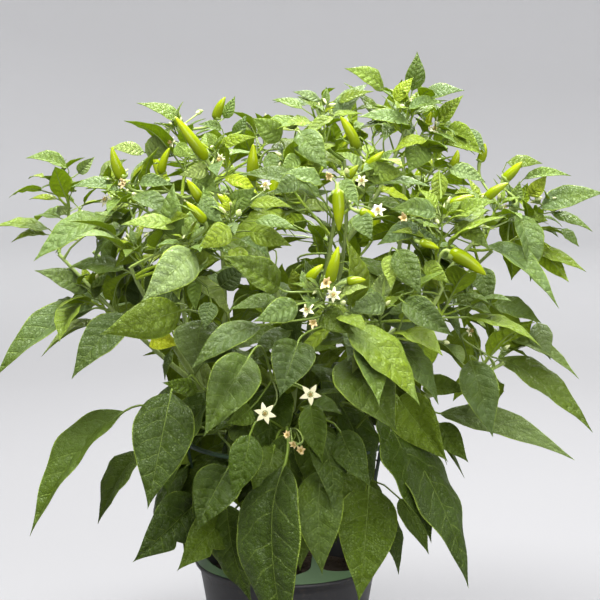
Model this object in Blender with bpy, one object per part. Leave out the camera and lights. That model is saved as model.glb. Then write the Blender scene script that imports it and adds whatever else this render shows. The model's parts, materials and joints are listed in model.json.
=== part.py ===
"""A potted chilli pepper plant: grower's pot, growing mix, rim-mounted plant support and the plant.

The origin is the centre of the pot's flat underside, +Z is up and the plant's front faces -Y.
Lengths are in metres. The plant tables are in centimetres, as a gardener would measure them.
"""

import math

import bmesh
import bpy
import numpy as np
from mathutils import Vector

CM = 0.01
GAP = 0.0003  # clearance between touching pieces
UP = Vector((0, 0, 1))

POT_HEIGHT = 0.135
RIM_RADIUS = 0.085
LIP_HEIGHT = 0.0145
WALL_TOP_RADIUS = 0.0785  # outside of the wall, just under the lip
BASE_RADIUS = 0.0585
WALL = 0.0020
FLOOR = 0.0025
BASE_BEVEL = 0.0015
RIM_ROUNDING = 0.0020
POT_SEGMENTS = 64
SOIL_SEGMENTS = 48
DRAIN_HOLES = 8
DRAIN_RADIUS = 0.0045
DRAIN_CIRCLE = 0.043
DRAIN_SEGMENTS = 16

SOIL_DEPTH_BELOW_RIM = 0.012
SOIL_TOP = POT_HEIGHT - SOIL_DEPTH_BELOW_RIM
SOIL_CROWN = 0.003  # how much higher the mix stands in the middle than near the wall

SUPPORT_TURN = math.radians(18)  # the front strut stands this far to the right of the front
SUPPORT_ARMS = 4
SUPPORT_WALL = 0.0016
COLLAR_RADIUS = 0.0838
COLLAR_HEIGHT = 0.0035
STRUT_FOOT_RADIUS = 0.0790
STRUT_FOOT_RISE = 0.024  # how far the concave flare climbs above the rim
STRUT_HALF_WIDTH = 0.0021
RING_RADIUS = 0.095
RING_Z = 0.2500
RING_WIDTH = 0.0050
RING_DEPTH = 0.0028

STEM_SIDES = 7
NODE_SWELL = 1.12  # the main stem thickens under its fork
LEAF_SIDES = 6
BLADE_STEPS = 8
FLOWER_POINTS = 6
FLOWER_STALK_RADIUS = 0.0008
# The star's rings from back to front: reach of a point, reach of a notch, height on the stalk.
FLOWER_RINGS = ((0.0060, 0.0035, 0.0030), (0.0095, 0.0042, 0.0040), (0.0040, 0.0030, 0.0052))
LEAF_THICKNESS = 0.0009
STALK_RADIUS = 0.0012
LEAF_SHAPE = 0.42  # width of a leaf over its length
LEAF_SWELL = 0.85  # how fast a blade widens from its base
LEAF_TAPER = 1.30  # how fast it narrows to its drawn-out tip
LEAF_ARCH = 0.45  # how steeply a blade leaves its stalk before it droops
LEAF_FOLD = 0.16  # how far the margins stand above the midrib, over half the width
STALK_LEAVE = 0.35  # share of a stalk that runs the way it left its stem
STALK_ARRIVE = 0.40  # share of a stalk that runs the way its leaf, fruit or flower points
LEAST_DEPTH = 0.03  # the crown is never thinner than this from its middle to its surface
CROWN_FLATNESS = 0.92  # front-to-back size of the crown over its width

# A fruit from its shoulder to its tip, as shares of its greatest radius.
FRUIT_SHAPE = (0.62, 0.95, 1, 0.97, 0.9, 0.78, 0.62, 0.43, 0.22)
FRUIT_SIDES = 8
FRUIT_BEND = 0.12

# How far the foliage reaches from the pot's axis at each height, in centimetres.
CROWN = ((13, 10), (20, 12), (26, 15), (33, 19), (42, 22), (50, 17), (56, 11), (60, 5))

MAIN_STEM = ((0, 0, 12.4), (0.3, 0.2, 16.5), (0, 0, 20.6))
MAIN_STEM_RADII = (0.62, 0.46, 0.44)

# Each limb: its own route, then its side branches. Points in centimetres; (start, end) radii.
LIMBS = {
    "limb_left": (
        ((-0.75, -0.25, 21.3), (-3.6, -1.4, 25.0), (-8.0, -3.0, 30.5)),
        (
            ((-7.8, -2.9, 30.2), (-13.0, -4.0, 35.0), (-20.0, -4.0, 42.3)),
            ((-7.7, -3.0, 30.1), (-11.0, -9.5, 37.5), (-13.0, -12.5, 42.5)),
            ((-7.6, -2.8, 29.9), (-9.5, -3.5, 40.0), (-9.0, -5.5, 47.5)),
            ((-3.4, -1.3, 24.8), (-4.8, -2.8, 25.8), (-6.2, -4.6, 26.4)),
        ),
    ),
    "limb_right": (
        ((0.75, -0.25, 21.3), (3.6, -1.8, 24.6), (7.5, -3.5, 29.0)),
        (
            ((7.5, -3.5, 29.0), (12.5, -5.0, 29.8), (19.0, -6.0, 33.0)),
            ((7.5, -3.5, 29.0), (11.0, -11.0, 36.5), (13.0, -13.5, 41.0)),
            ((7.5, -3.5, 29.0), (12.5, -3.0, 38.5), (20.3, -2.6, 46.6)),
            ((3.4, -1.7, 24.4), (4.6, -3.6, 25.6), (5.6, -5.6, 26.2)),
        ),
    ),
    "limb_back_right": (
        ((0.45, 0.70, 21.3), (3.4, 3.4, 25.4), (6.5, 7.0, 31.0)),
        (
            ((6.5, 7.0, 31.0), (13.0, 7.5, 35.5), (19.0, 6.5, 41.0)),
            ((6.5, 7.0, 31.0), (10.0, 12.0, 35.0), (11.5, 15.0, 39.5)),
            ((6.5, 7.0, 31.0), (10.0, 5.0, 40.0), (10.5, 4.5, 50.0)),
            ((3.2, 3.2, 25.1), (4.4, 4.8, 26.2), (5.2, 6.2, 26.6)),
        ),
    ),
    "limb_back_left": (
        ((-0.45, 0.70, 21.3), (-3.2, 3.6, 25.4), (-6.0, 7.5, 31.0)),
        (
            ((-6.0, 7.5, 31.0), (-12.0, 7.0, 35.5), (-18.0, 6.0, 41.0)),
            ((-6.0, 7.5, 31.0), (-8.5, 12.5, 35.0), (-10.0, 15.5, 39.5)),
            ((-6.0, 7.5, 31.0), (-6.0, 6.5, 40.0), (-7.0, 5.5, 49.0)),
            ((-3.0, 3.4, 25.1), (-4.4, 4.6, 26.2), (-5.6, 5.8, 26.6)),
        ),
    ),
    "limb_centre": (
        ((0.0, -0.1, 21.7), (0.4, -0.7, 27.0), (1.0, -1.5, 33.0)),
        (
            ((1.0, -1.5, 33.0), (2.8, -7.8, 39.0), (4.0, -11.8, 46.5)),
            ((1.0, -1.5, 33.0), (4.6, -2.5, 40.0), (5.0, -3.0, 50.5)),
            ((5.0, -2.6, 43.0), (8.0, -2.6, 47.5), (10.5, -2.4, 53.5)),
            ((1.0, -1.5, 33.0), (-1.6, -1.2, 41.0), (-2.8, -2.6, 48.5)),
            ((0.3, -0.5, 25.5), (0.3, -4.6, 27.8), (0.4, -9.0, 27.4)),
            ((0.7, -1.1, 30.0), (-0.4, -6.0, 31.8), (-1.2, -10.5, 32.4)),
        ),
    ),
}
LIMB_RADII = (0.36, 0.27)
BRANCH_RADII = (0.25, 0.15)

# Each leaf: name, blade base (x, z), blade tip (x, z), blade width, how near it sits to the
# crown's surface (1 is on it), and the side it hangs on (-1 front, 1 back). Centimetres.
LEAVES = (
    ("leaf_low_1", (0.0, 26.5), (-0.5, 12.5), 5.4, 1.15, -1),
    ("leaf_low_2", (2.9, 25.6), (3.0, 17.5), 3.3, 1.10, -1),
    ("leaf_low_3", (7.0, 23.5), (6.0, 15.0), 5.1, 1.10, -1),
    ("leaf_low_4", (9.5, 28.5), (15.0, 16.5), 5.2, 1.05, -1),
    ("leaf_low_5", (-9.8, 31.5), (-11.5, 22.8), 5.2, 0.80, -1),
    ("leaf_low_6", (-14.5, 28.0), (-22.5, 18.0), 3.5, 0.50, -1),
    ("leaf_low_7", (-8.0, 20.5), (-11.5, 17.0), 4.8, 0.80, -1),
    ("leaf_low_8", (-5.0, 25.0), (-7.5, 20.5), 4.0, 0.95, -1),
    ("leaf_low_9", (13.5, 28.0), (25.0, 25.0), 2.6, 0.50, -1),
    ("leaf_low_10", (-7.5, 27.5), (-10.5, 15.5), 5.0, 1.00, 1),
    ("leaf_low_11", (0.5, 27.0), (1.0, 15.0), 5.2, 1.10, 1),
    ("leaf_low_12", (8.5, 27.0), (13.0, 16.0), 5.0, 1.00, 1),
    ("leaf_mid_1", (-17.0, 37.5), (-25.5, 32.0), 3.3, 0.40, -1),
    ("leaf_mid_2", (-13.5, 38.0), (-18.0, 33.0), 4.1, 0.70, -1),
    ("leaf_mid_3", (-3.0, 36.0), (-6.5, 30.5), 4.0, 1.00, -1),
    ("leaf_mid_4", (5.5, 36.0), (9.0, 30.5), 4.9, 0.95, -1),
    ("leaf_mid_5", (15.5, 34.0), (17.0, 28.0), 3.3, 0.60, -1),
    ("leaf_mid_6", (18.8, 32.4), (27.0, 26.5), 3.0, 0.40, -1),
    ("leaf_mid_7", (-17.5, 39.0), (-22.0, 41.0), 1.9, 0.30, -1),
    ("leaf_mid_8", (-7.5, 44.5), (-11.5, 41.0), 3.3, 0.95, -1),
    ("leaf_mid_9", (9.5, 40.5), (13.5, 38.0), 2.2, 1.00, -1),
    ("leaf_mid_10", (-15.0, 38.0), (-22.0, 32.0), 3.8, 0.70, 1),
    ("leaf_mid_11", (1.0, 38.0), (3.5, 32.0), 4.2, 1.00, 1),
    ("leaf_mid_12", (16.0, 37.0), (23.0, 31.0), 3.6, 0.70, 1),
    ("leaf_top_1", (11.0, 56.5), (11.5, 60.3), 2.2, 0.30, -1),
    ("leaf_top_2", (-9.0, 53.5), (-13.0, 55.5), 1.4, 0.20, -1),
    ("leaf_top_3", (22.5, 46.0), (28.0, 47.5), 1.9, 0.20, -1),
    ("leaf_top_4", (17.5, 43.0), (23.5, 38.0), 2.3, 0.50, -1),
    ("leaf_top_5", (-15.5, 46.0), (-21.5, 42.5), 2.1, 0.60, -1),
    ("leaf_top_6", (-21.3, 44.0), (-26.0, 44.5), 1.2, 0.10, -1),
    ("leaf_top_7", (6.5, 50.5), (10.0, 50.5), 1.9, 0.90, -1),
    ("leaf_top_8", (-6.0, 51.0), (-9.5, 49.0), 2.4, 0.90, 1),
)

# Each pepper: name, shoulder (x, z), tip (x, z), greatest radius, crown depth, side. Centimetres.
PEPPERS = (
    ("pepper_1", (-6.7, 51.2), (-9.3, 54.9), 0.62, 0.75, -1),
    ("pepper_2", (-2.8, 49.2), (-2.8, 52.4), 0.62, 0.50, -1),
    ("pepper_3", (-14.1, 49.0), (-15.0, 51.9), 0.58, 0.55, -1),
    ("pepper_4", (4.2, 49.4), (4.3, 46.0), 0.62, 1.00, -1),
    ("pepper_5", (13.5, 44.0), (16.5, 42.1), 0.72, 0.95, -1),
    ("pepper_6", (19.1, 48.5), (20.7, 50.2), 0.52, 0.60, -1),
    ("pepper_7", (-1.5, 44.6), (-0.9, 48.0), 0.60, 0.90, 1),
    ("pepper_8", (12.0, 47.0), (14.6, 49.6), 0.60, 0.80, 1),
    ("pepper_9", (-11.5, 46.5), (-13.0, 49.6), 0.58, 0.85, 1),
)

# Each open flower: name, centre (x, z), crown depth, side. Centimetres.
FLOWERS = (
    ("flower_1", (2.0, 32.9), 1.05, -1),
    ("flower_2", (-1.7, 31.3), 1.10, -1),
    ("flower_3", (-1.5, 34.0), 1.15, 1),
)


def clear_scene():
    for obj in list(bpy.data.objects):
        bpy.data.objects.remove(obj, do_unlink=True)


def material(name, color, roughness):
    made = bpy.data.materials.new(name)
    made.use_nodes = True
    shader = made.node_tree.nodes["Principled BSDF"]
    shader.inputs["Base Color"].default_value = (*color, 1)
    shader.inputs["Roughness"].default_value = roughness
    made.diffuse_color = (*color, 1)
    return made


def add_object(name, mesh, mat, sharp_angle=math.radians(40)):
    mesh.shade_smooth()
    mesh.set_sharp_from_angle(angle=sharp_angle)
    mesh.materials.append(mat)
    obj = bpy.data.objects.new(name, mesh)
    bpy.context.scene.collection.objects.link(obj)
    return obj


def loft_mesh(name, rings):
    """A closed skin over rings of equal count, from the first to the last, with both ends filled."""
    bm = bmesh.new()
    made = [[bm.verts.new(point) for point in ring] for ring in rings]
    for below, above in zip(made, made[1:]):
        for i in range(len(below)):
            j = (i + 1) % len(below)
            bm.faces.new((below[i], below[j], above[j], above[i]))
    bm.faces.new(tuple(reversed(made[0])))
    bm.faces.new(made[-1])
    bmesh.ops.recalc_face_normals(bm, faces=bm.faces)
    mesh = bpy.data.meshes.new(name)
    bm.to_mesh(mesh)
    bm.free()
    return mesh


def across(tangent, hint):
    """The unit vector nearest to hint that is square to tangent."""
    found = hint - tangent * hint.dot(tangent)
    if found.length < 1e-6:
        found = tangent.orthogonal()
    return found.normalized()


def curve_points(points, count):
    """Points along the smooth quadratic curve that starts, leans and ends at the three points."""
    a, b, c = (Vector(point) for point in points)
    found = []
    for i in range(count):
        t = i / (count - 1)
        found.append(a * (1 - t) ** 2 + b * 2 * t * (1 - t) + c * t ** 2)
    return found


def through(points, count):
    """Points along the quadratic curve that passes through its middle point halfway."""
    a, b, c = (Vector(point) for point in points)
    return curve_points((a, b * 2 - (a + c) / 2, c), count)


def tangents(points):
    found = []
    for i in range(len(points)):
        before = points[max(i - 1, 0)]
        after = points[min(i + 1, len(points) - 1)]
        found.append((after - before).normalized())
    return found


def tube_rings(points, radii, sides):
    rings = []
    normal = tangents(points)[0].orthogonal().normalized()
    for point, tangent, radius in zip(points, tangents(points), radii):
        normal = across(tangent, normal)
        side = tangent.cross(normal)
        ring = []
        for i in range(sides):
            turn = 2 * math.pi * i / sides
            ring.append(point + (normal * math.cos(turn) + side * math.sin(turn)) * radius)
        rings.append(ring)
    return rings


def spread(values, count):
    """count numbers that run evenly through values."""
    at = np.linspace(0, len(values) - 1, count)
    return [float(v) for v in np.interp(at, range(len(values)), values)]


def reach(z):
    """How far the foliage reaches from the axis at height z, in metres."""
    heights, radii = zip(*CROWN)
    return float(np.interp(z / CM, heights, radii)) * CM


def crown_place(x, z, depth, side):
    """The point at x, z (centimetres) that lies at this share of the crown's depth."""
    x, z = x * CM, z * CM
    half = CROWN_FLATNESS * math.sqrt(max(reach(z) ** 2 - x * x, LEAST_DEPTH ** 2))
    return Vector((x, side * half * depth, z))


# ---------------------------------------------------------------- pot and soil


def wall_radius(z):
    """Outer radius of the pot's wall at height z."""
    return BASE_RADIUS + (WALL_TOP_RADIUS - BASE_RADIUS) * z / (POT_HEIGHT - LIP_HEIGHT)


def turned_mesh(name, profile, segments):
    """The solid turned from a closed profile of (radius, z) that starts and ends on the axis."""
    bm = bmesh.new()
    low = bm.verts.new((0, 0, profile[0][1]))
    high = bm.verts.new((0, 0, profile[-1][1]))
    rings = []
    for radius, z in profile[1:-1]:
        ring = []
        for i in range(segments):
            turn = 2 * math.pi * i / segments
            ring.append(bm.verts.new((radius * math.cos(turn), radius * math.sin(turn), z)))
        rings.append(ring)
    for i in range(segments):
        j = (i + 1) % segments
        bm.faces.new((low, rings[0][j], rings[0][i]))
        bm.faces.new((high, rings[-1][i], rings[-1][j]))
        for below, above in zip(rings, rings[1:]):
            bm.faces.new((below[i], below[j], above[j], above[i]))
    bmesh.ops.recalc_face_normals(bm, faces=bm.faces)
    mesh = bpy.data.meshes.new(name)
    bm.to_mesh(mesh)
    bm.free()
    return mesh


def make_pot(mat):
    """The pot, turned in one piece: a tapered wall under a flared lip, with holes in its floor."""
    lip_foot = POT_HEIGHT - LIP_HEIGHT
    lip_middle = POT_HEIGHT - LIP_HEIGHT * 0.4
    half_way = lip_foot / 2
    profile = [
        (0, 0),
        (BASE_RADIUS - BASE_BEVEL, 0),
        (wall_radius(BASE_BEVEL), BASE_BEVEL),
        (wall_radius(half_way), half_way),
        (WALL_TOP_RADIUS, lip_foot),
        (WALL_TOP_RADIUS + 2 * BASE_BEVEL, lip_foot + BASE_BEVEL),
        (RIM_RADIUS - 0.6 * RIM_ROUNDING, lip_middle),
        (RIM_RADIUS, POT_HEIGHT - RIM_ROUNDING),
        (RIM_RADIUS - 0.4 * RIM_ROUNDING, POT_HEIGHT),
        (RIM_RADIUS - 1.2 * RIM_ROUNDING, POT_HEIGHT),
        (RIM_RADIUS - 1.7 * RIM_ROUNDING, lip_middle),
        (WALL_TOP_RADIUS - WALL / 2, lip_foot - WALL / 2),
        (wall_radius(half_way) - WALL, half_way),
        (wall_radius(FLOOR) - WALL, FLOOR),
        (0, FLOOR),
    ]
    pot = add_object("pot", turned_mesh("pot", profile, POT_SEGMENTS), mat)
    for i in range(DRAIN_HOLES):
        turn = 2 * math.pi * (i + 0.5) / DRAIN_HOLES
        centre = Vector((math.cos(turn), math.sin(turn), 0)) * DRAIN_CIRCLE
        ends = [centre - UP * 4 * FLOOR, centre + UP * 4 * FLOOR]
        rings = tube_rings(ends, [DRAIN_RADIUS] * 2, DRAIN_SEGMENTS)
        cutter = add_object(f"drain_cutter_{i + 1}", loft_mesh("drain_cutter", rings), mat)
        cutter.hide_render = True
        cutter.display_type = "WIRE"
        cut = pot.modifiers.new(f"drain_{i + 1}", "BOOLEAN")
        cut.operation = "DIFFERENCE"
        cut.object = cutter
    return pot


def make_soil(mat):
    """The growing mix, a little higher in the middle, clear of the pot's wall and floor."""
    clear = WALL + 2 * GAP
    low = FLOOR + GAP
    edge = SOIL_TOP - 2 * SOIL_CROWN
    profile = [
        (0, low),
        (wall_radius(low) - clear, low),
        (wall_radius(edge) - clear, edge),
        (wall_radius(edge) - clear - SOIL_CROWN / 2, edge + SOIL_CROWN / 2),
        (WALL_TOP_RADIUS * 0.70, SOIL_TOP - SOIL_CROWN * 0.7),
        (WALL_TOP_RADIUS * 0.38, SOIL_TOP - SOIL_CROWN * 0.2),
        (0, SOIL_TOP),
    ]
    return add_object("soil", turned_mesh("soil", profile, SOIL_SEGMENTS), mat)


# ---------------------------------------------------------------- plant support


def round_axis(turn, radius, z):
    """The point at this turn to the right of the front."""
    return Vector((radius * math.sin(turn), -radius * math.cos(turn), z))


def make_support_arm(name, turn, mat):
    """A quarter of the rim collar, sweeping up in a concave flare to a strut under the ring."""
    foot = POT_HEIGHT + GAP
    strut_top = RING_Z - RING_DEPTH / 2 - GAP
    quarter = math.pi / SUPPORT_ARMS - GAP / COLLAR_RADIUS
    strut = STRUT_HALF_WIDTH / COLLAR_RADIUS
    sections = []
    for share in (0, 0.10, 0.25, 0.45, 0.70, 1):
        rise = COLLAR_HEIGHT + (STRUT_FOOT_RISE - COLLAR_HEIGHT) * share
        half = strut + (quarter - strut) * (1 - share) ** 5
        sections.append((rise, half))
    sections.insert(0, (0, quarter))
    rings = []
    for rise, half in sections:
        lean = rise / STRUT_FOOT_RISE
        radius = COLLAR_RADIUS + (STRUT_FOOT_RADIUS - COLLAR_RADIUS) * lean
        rings.append(arc_section(turn, half, radius, foot + rise))
    for share in (0.35, 0.7, 1):
        z = foot + STRUT_FOOT_RISE + (strut_top - foot - STRUT_FOOT_RISE) * share
        radius = STRUT_FOOT_RADIUS + (RING_RADIUS - STRUT_FOOT_RADIUS) * share
        rings.append(arc_section(turn, strut, radius, z))
    return add_object(name, loft_mesh(name, rings), mat)


def arc_section(turn, half_turn, radius, z):
    """A level slice through a curved wall: its outer arc, then its inner arc back."""
    steps = 5
    outer, inner = [], []
    for i in range(steps + 1):
        angle = turn + half_turn * (2 * i / steps - 1)
        outer.append(round_axis(angle, radius, z))
        inner.append(round_axis(angle, radius - SUPPORT_WALL, z))
    return outer + inner[::-1]


def make_ring_arc(name, turn, mat):
    """A quarter of the ring, centred over its strut."""
    half = math.pi / SUPPORT_ARMS - GAP / RING_RADIUS
    steps = 8
    rings = []
    for i in range(steps + 1):
        angle = turn + half * (2 * i / steps - 1)
        ring = []
        for out, rise in ((0.5, -0.5), (0.5, 0.5), (-0.5, 0.5), (-0.5, -0.5)):
            radius = RING_RADIUS + out * RING_WIDTH - SUPPORT_WALL / 2
            ring.append(round_axis(angle, radius, RING_Z + rise * RING_DEPTH))
        rings.append(ring)
    return add_object(name, loft_mesh(name, rings), mat)


# ---------------------------------------------------------------- stems


def cm_points(points):
    return [Vector(point) * CM for point in points]


def stem_mesh(name, points, radii, count):
    line = through(cm_points(points), count)
    return loft_mesh(name, tube_rings(line, [r * CM for r in spread(radii, count)], STEM_SIDES))


def make_main_stem(mat):
    """The stem from the soil to the first fork, with a swollen node at its top."""
    line = through(cm_points(MAIN_STEM), 9)
    radii = [r * CM for r in spread(MAIN_STEM_RADII, 9)]
    radii[-2] *= NODE_SWELL
    radii[-1] /= NODE_SWELL
    return add_object("main_stem", loft_mesh("main_stem", tube_rings(line, radii, STEM_SIDES)), mat)


def make_limb(name, route, branches, mat):
    """A limb and its side branches, joined into the one piece that they grew as."""
    limb = add_object(name, stem_mesh(name, route, LIMB_RADII, 7), mat)
    for i, branch in enumerate(branches):
        arm_name = f"{name}_branch_{i + 1}"
        arm = add_object(arm_name, stem_mesh(arm_name, branch, BRANCH_RADII, 8), mat)
        arm.hide_render = True
        arm.display_type = "WIRE"
        join = limb.modifiers.new(f"branch_{i + 1}", "BOOLEAN")
        join.operation = "UNION"
        join.object = arm
    return limb


def stem_lines():
    """Every stem as close-set (point, radius) pairs, for finding where a stalk grows from."""
    lines = [(through(cm_points(MAIN_STEM), 24), spread(MAIN_STEM_RADII, 24))]
    for route, branches in LIMBS.values():
        lines.append((through(cm_points(route), 24), spread(LIMB_RADII, 24)))
        for branch in branches:
            lines.append((through(cm_points(branch), 32), spread(BRANCH_RADII, 32)))
    found = []
    for points, radii in lines:
        for point, radius, tangent in list(zip(points, radii, tangents(points)))[3:]:
            found.append((point, radius * CM, tangent))
    return found


def stalk_start(stems, goal, radius):
    """Where a stalk to goal leaves the nearest stem: a point just clear of it, and its direction."""
    point, stem_radius, tangent = min(stems, key=lambda stem: (stem[0] - goal).length)
    out = across(tangent, goal - point)
    return point + out * (stem_radius + 2 * GAP + radius * 0.1), out


def stalk_points(root, leave, end, lead, span, count):
    """Points of a stalk that leaves its stem squarely and bends into what it carries."""
    a, b, c, d = root, root + leave * span * STALK_LEAVE, end - lead * span * STALK_ARRIVE, end
    found = []
    for i in range(count):
        t = i / (count - 1)
        s = 1 - t
        found.append(a * s ** 3 + b * 3 * s * s * t + c * 3 * s * t * t + d * t ** 3)
    return found


# ---------------------------------------------------------------- leaves


def outline(t):
    """Half width of a leaf at share t of its length, over its greatest half width."""
    swell, taper = LEAF_SWELL, LEAF_TAPER
    widest = swell / (swell + taper)
    return (t / widest) ** swell * ((1 - t) / (1 - widest)) ** taper


def outward(point):
    """Up and away from the axis, the way that a leaf's upper face looks."""
    return Vector((point.x, point.y, 0)).normalized() * 0.7 + UP * 0.7


def make_leaf(name, base, tip, width, depth, side, stems, mat):
    """A blade with its stalk, as one skin: round at the stalk, a thin arched lens at the blade."""
    width *= CM
    start = crown_place(*base, depth, side)
    flat = Vector(((tip[0] - base[0]) * CM, 0, (tip[1] - base[1]) * CM))
    hidden = max((width / LEAF_SHAPE) ** 2 - flat.length ** 2, 0)
    forward = min(math.sqrt(hidden), flat.length * 0.7)
    end = start + flat + Vector((0, side * forward, 0))
    chord = end - start
    face = across(chord.normalized(), outward(start + chord / 2))
    lead = (chord.normalized() + face * LEAF_ARCH).normalized()
    root, leave = stalk_start(stems, start, STALK_RADIUS)
    span = (start - root).length
    stalk = stalk_points(root, leave, start, lead, span, 4)
    blade = curve_points((start, start + lead * chord.length * 0.5, end), BLADE_STEPS + 1)
    line = stalk[:-1] + blade
    shares = [0] * 3 + [i / BLADE_STEPS for i in range(BLADE_STEPS + 1)]
    rings = []
    for point, tangent, share in zip(line, tangents(line), shares):
        normal = across(tangent, face)
        left = tangent.cross(normal)
        half = max(width / 2 * outline(share), STALK_RADIUS * (1 - 0.75 * share))
        thick = STALK_RADIUS + (LEAF_THICKNESS / 2 - STALK_RADIUS) * min(share * 4, 1)
        thick *= 1 - 0.6 * max(share - 0.8, 0) / 0.2
        lift = min(share * 4, 1) * LEAF_FOLD * half
        ring = []
        for i in range(LEAF_SIDES):
            turn = 2 * math.pi * i / LEAF_SIDES
            v, w = math.cos(turn), math.sin(turn)
            ring.append(point + left * half * v + normal * (thick * w + lift * abs(v)))
        rings.append(ring)
    return add_object(name, loft_mesh(name, rings), mat)


# ---------------------------------------------------------------- fruit and flowers


def make_pepper(name, base, tip, radius, depth, side, stems, mat):
    """A fruit with its calyx and stalk: a bent cone whose shoulder sits in the flared calyx."""
    radius *= CM
    start = crown_place(*base, depth, side)
    flat = Vector(((tip[0] - base[0]) * CM, 0, (tip[1] - base[1]) * CM))
    end = start + flat + Vector((0, side * flat.length * 0.15, 0))
    lead = flat.normalized()
    root, leave = stalk_start(stems, start, STALK_RADIUS)
    span = (start - root).length
    stalk = stalk_points(root, leave, start, lead, span, 6)
    bow = across((end - start).normalized(), outward(start)) * flat.length * FRUIT_BEND
    body = curve_points((start, (start + end) / 2 + bow, end), len(FRUIT_SHAPE) + 1)
    line = stalk + [start + lead * STALK_RADIUS] + body[1:]
    calyx = [STALK_RADIUS * 1.6, radius * 0.5]
    radii = [STALK_RADIUS] * 5 + calyx + [radius * share for share in FRUIT_SHAPE]
    return add_object(name, loft_mesh(name, tube_rings(line, radii, FRUIT_SIDES)), mat)


def make_flower(name, centre, depth, side, stems, mat):
    """A six-pointed star on a thin stalk, facing away from the plant."""
    heart = crown_place(*centre, depth, side)
    face = Vector((heart.x * 0.5, heart.y, 0.02)).normalized()
    root, leave = stalk_start(stems, heart, STALK_RADIUS)
    span = (heart - root).length
    behind = heart - face * FLOWER_RINGS[1][2]
    stalk = stalk_points(root, leave, behind, face, span, 6)
    sides = 2 * FLOWER_POINTS
    rings = tube_rings(stalk, [FLOWER_STALK_RADIUS] * 5 + [FLOWER_STALK_RADIUS * 2], sides)
    normal = across(face, UP)
    left = face.cross(normal)
    for to_point, to_notch, step in FLOWER_RINGS:
        ring = []
        for i in range(sides):
            turn = 2 * math.pi * i / sides
            out = to_notch if i % 2 else to_point
            ring.append(behind + face * step + (normal * math.cos(turn) + left * math.sin(turn)) * out)
        rings.append(ring)
    return add_object(name, loft_mesh(name, rings), mat)


def main():
    clear_scene()
    charcoal = material("pot_plastic", (0.032, 0.031, 0.036), 0.45)
    humus = material("growing_mix", (0.035, 0.020, 0.012), 0.95)
    green_plastic = material("support_plastic", (0.075, 0.180, 0.105), 0.5)
    bark = material("stem_green", (0.130, 0.170, 0.055), 0.6)
    blade = material("leaf_green", (0.085, 0.220, 0.045), 0.45)
    fruit = material("pepper_skin", (0.420, 0.620, 0.060), 0.25)
    petal = material("petal_white", (0.820, 0.820, 0.720), 0.6)

    make_pot(charcoal)
    make_soil(humus)
    for i in range(SUPPORT_ARMS):
        turn = SUPPORT_TURN + 2 * math.pi * i / SUPPORT_ARMS
        make_support_arm(f"support_arm_{i + 1}", turn, green_plastic)
        make_ring_arc(f"support_ring_arc_{i + 1}", turn, green_plastic)
    make_main_stem(bark)
    for name, (route, branches) in LIMBS.items():
        make_limb(name, route, branches, bark)
    stems = stem_lines()
    for leaf in LEAVES:
        make_leaf(*leaf, stems, blade)
    for pepper in PEPPERS:
        make_pepper(*pepper, stems, fruit)
    for flower in FLOWERS:
        make_flower(*flower, stems, petal)


main()
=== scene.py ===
"""Looks for the potted chilli pepper plant, modelled around its construction frame.

The origin is the centre of the pot's underside, +Z is up and the plant's front faces -Y. The
tables of stems, leaves, fruits and flowers are in centimetres, as a gardener would measure them.
Every other length is in metres.
"""

import json
import math
import random
from collections import namedtuple

import bmesh
import bpy
import numpy as np
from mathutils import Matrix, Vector, noise

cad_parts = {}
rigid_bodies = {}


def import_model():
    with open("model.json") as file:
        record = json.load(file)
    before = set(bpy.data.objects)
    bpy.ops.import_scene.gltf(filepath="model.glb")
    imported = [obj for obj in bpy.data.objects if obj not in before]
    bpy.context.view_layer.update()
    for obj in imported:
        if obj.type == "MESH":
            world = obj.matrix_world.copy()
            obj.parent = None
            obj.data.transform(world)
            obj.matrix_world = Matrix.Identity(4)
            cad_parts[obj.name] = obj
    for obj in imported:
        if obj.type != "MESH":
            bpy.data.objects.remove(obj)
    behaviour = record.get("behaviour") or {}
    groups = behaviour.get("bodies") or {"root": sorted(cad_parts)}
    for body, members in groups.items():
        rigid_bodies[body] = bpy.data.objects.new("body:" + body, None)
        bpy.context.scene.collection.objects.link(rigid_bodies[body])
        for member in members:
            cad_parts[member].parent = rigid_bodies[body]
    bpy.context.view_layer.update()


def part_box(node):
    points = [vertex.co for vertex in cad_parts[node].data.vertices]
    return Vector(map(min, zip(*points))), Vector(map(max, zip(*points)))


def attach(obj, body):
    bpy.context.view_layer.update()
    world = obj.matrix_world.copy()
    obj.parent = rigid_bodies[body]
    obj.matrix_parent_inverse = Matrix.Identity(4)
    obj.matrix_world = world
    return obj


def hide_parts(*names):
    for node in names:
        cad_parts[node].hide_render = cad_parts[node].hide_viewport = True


bl_info = {
    "name": "Potted Pepper Plant",
    "version": (1, 0, 0),
    "blender": (4, 5, 0),
    "location": "View3D > Sidebar > Pepper Plant",
    "description": "Models a chilli plant in fruit and flower, in its pot, around a packed frame",
    "category": "Add Mesh",
}

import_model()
POT_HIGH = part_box("pot")[1]
RIM_RADIUS = POT_HIGH.x
POT_TOP = POT_HIGH.z
SOIL_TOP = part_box("soil")[1].z
RING_LOW, RING_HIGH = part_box("support_ring_arc_1")
RING_Z = (RING_LOW.z + RING_HIGH.z) / 2

CM = 0.01
UP = Vector((0, 0, 1))
GOLDEN_TURN = math.radians(137.5)  # each leaf on a shoot stands this far round from the last

# ---------------------------------------------------------------- the plant's tables, centimetres

# How far the foliage reaches from the pot's axis at each height.
CROWN = ((13, 10), (20, 12), (26, 15), (33, 19), (42, 22), (50, 17), (56, 11), (60, 5))
CROWN_FLATNESS = 0.92  # the crown's depth over its width
LEAST_DEPTH = 3  # half the foliage's depth at its very edge

MAIN_STEM = ((0, 0, 12.0), (0.3, 0.2, 16.5), (0, 0, 21.4))
MAIN_STEM_RADII = (0.66, 0.48, 0.44)

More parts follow.
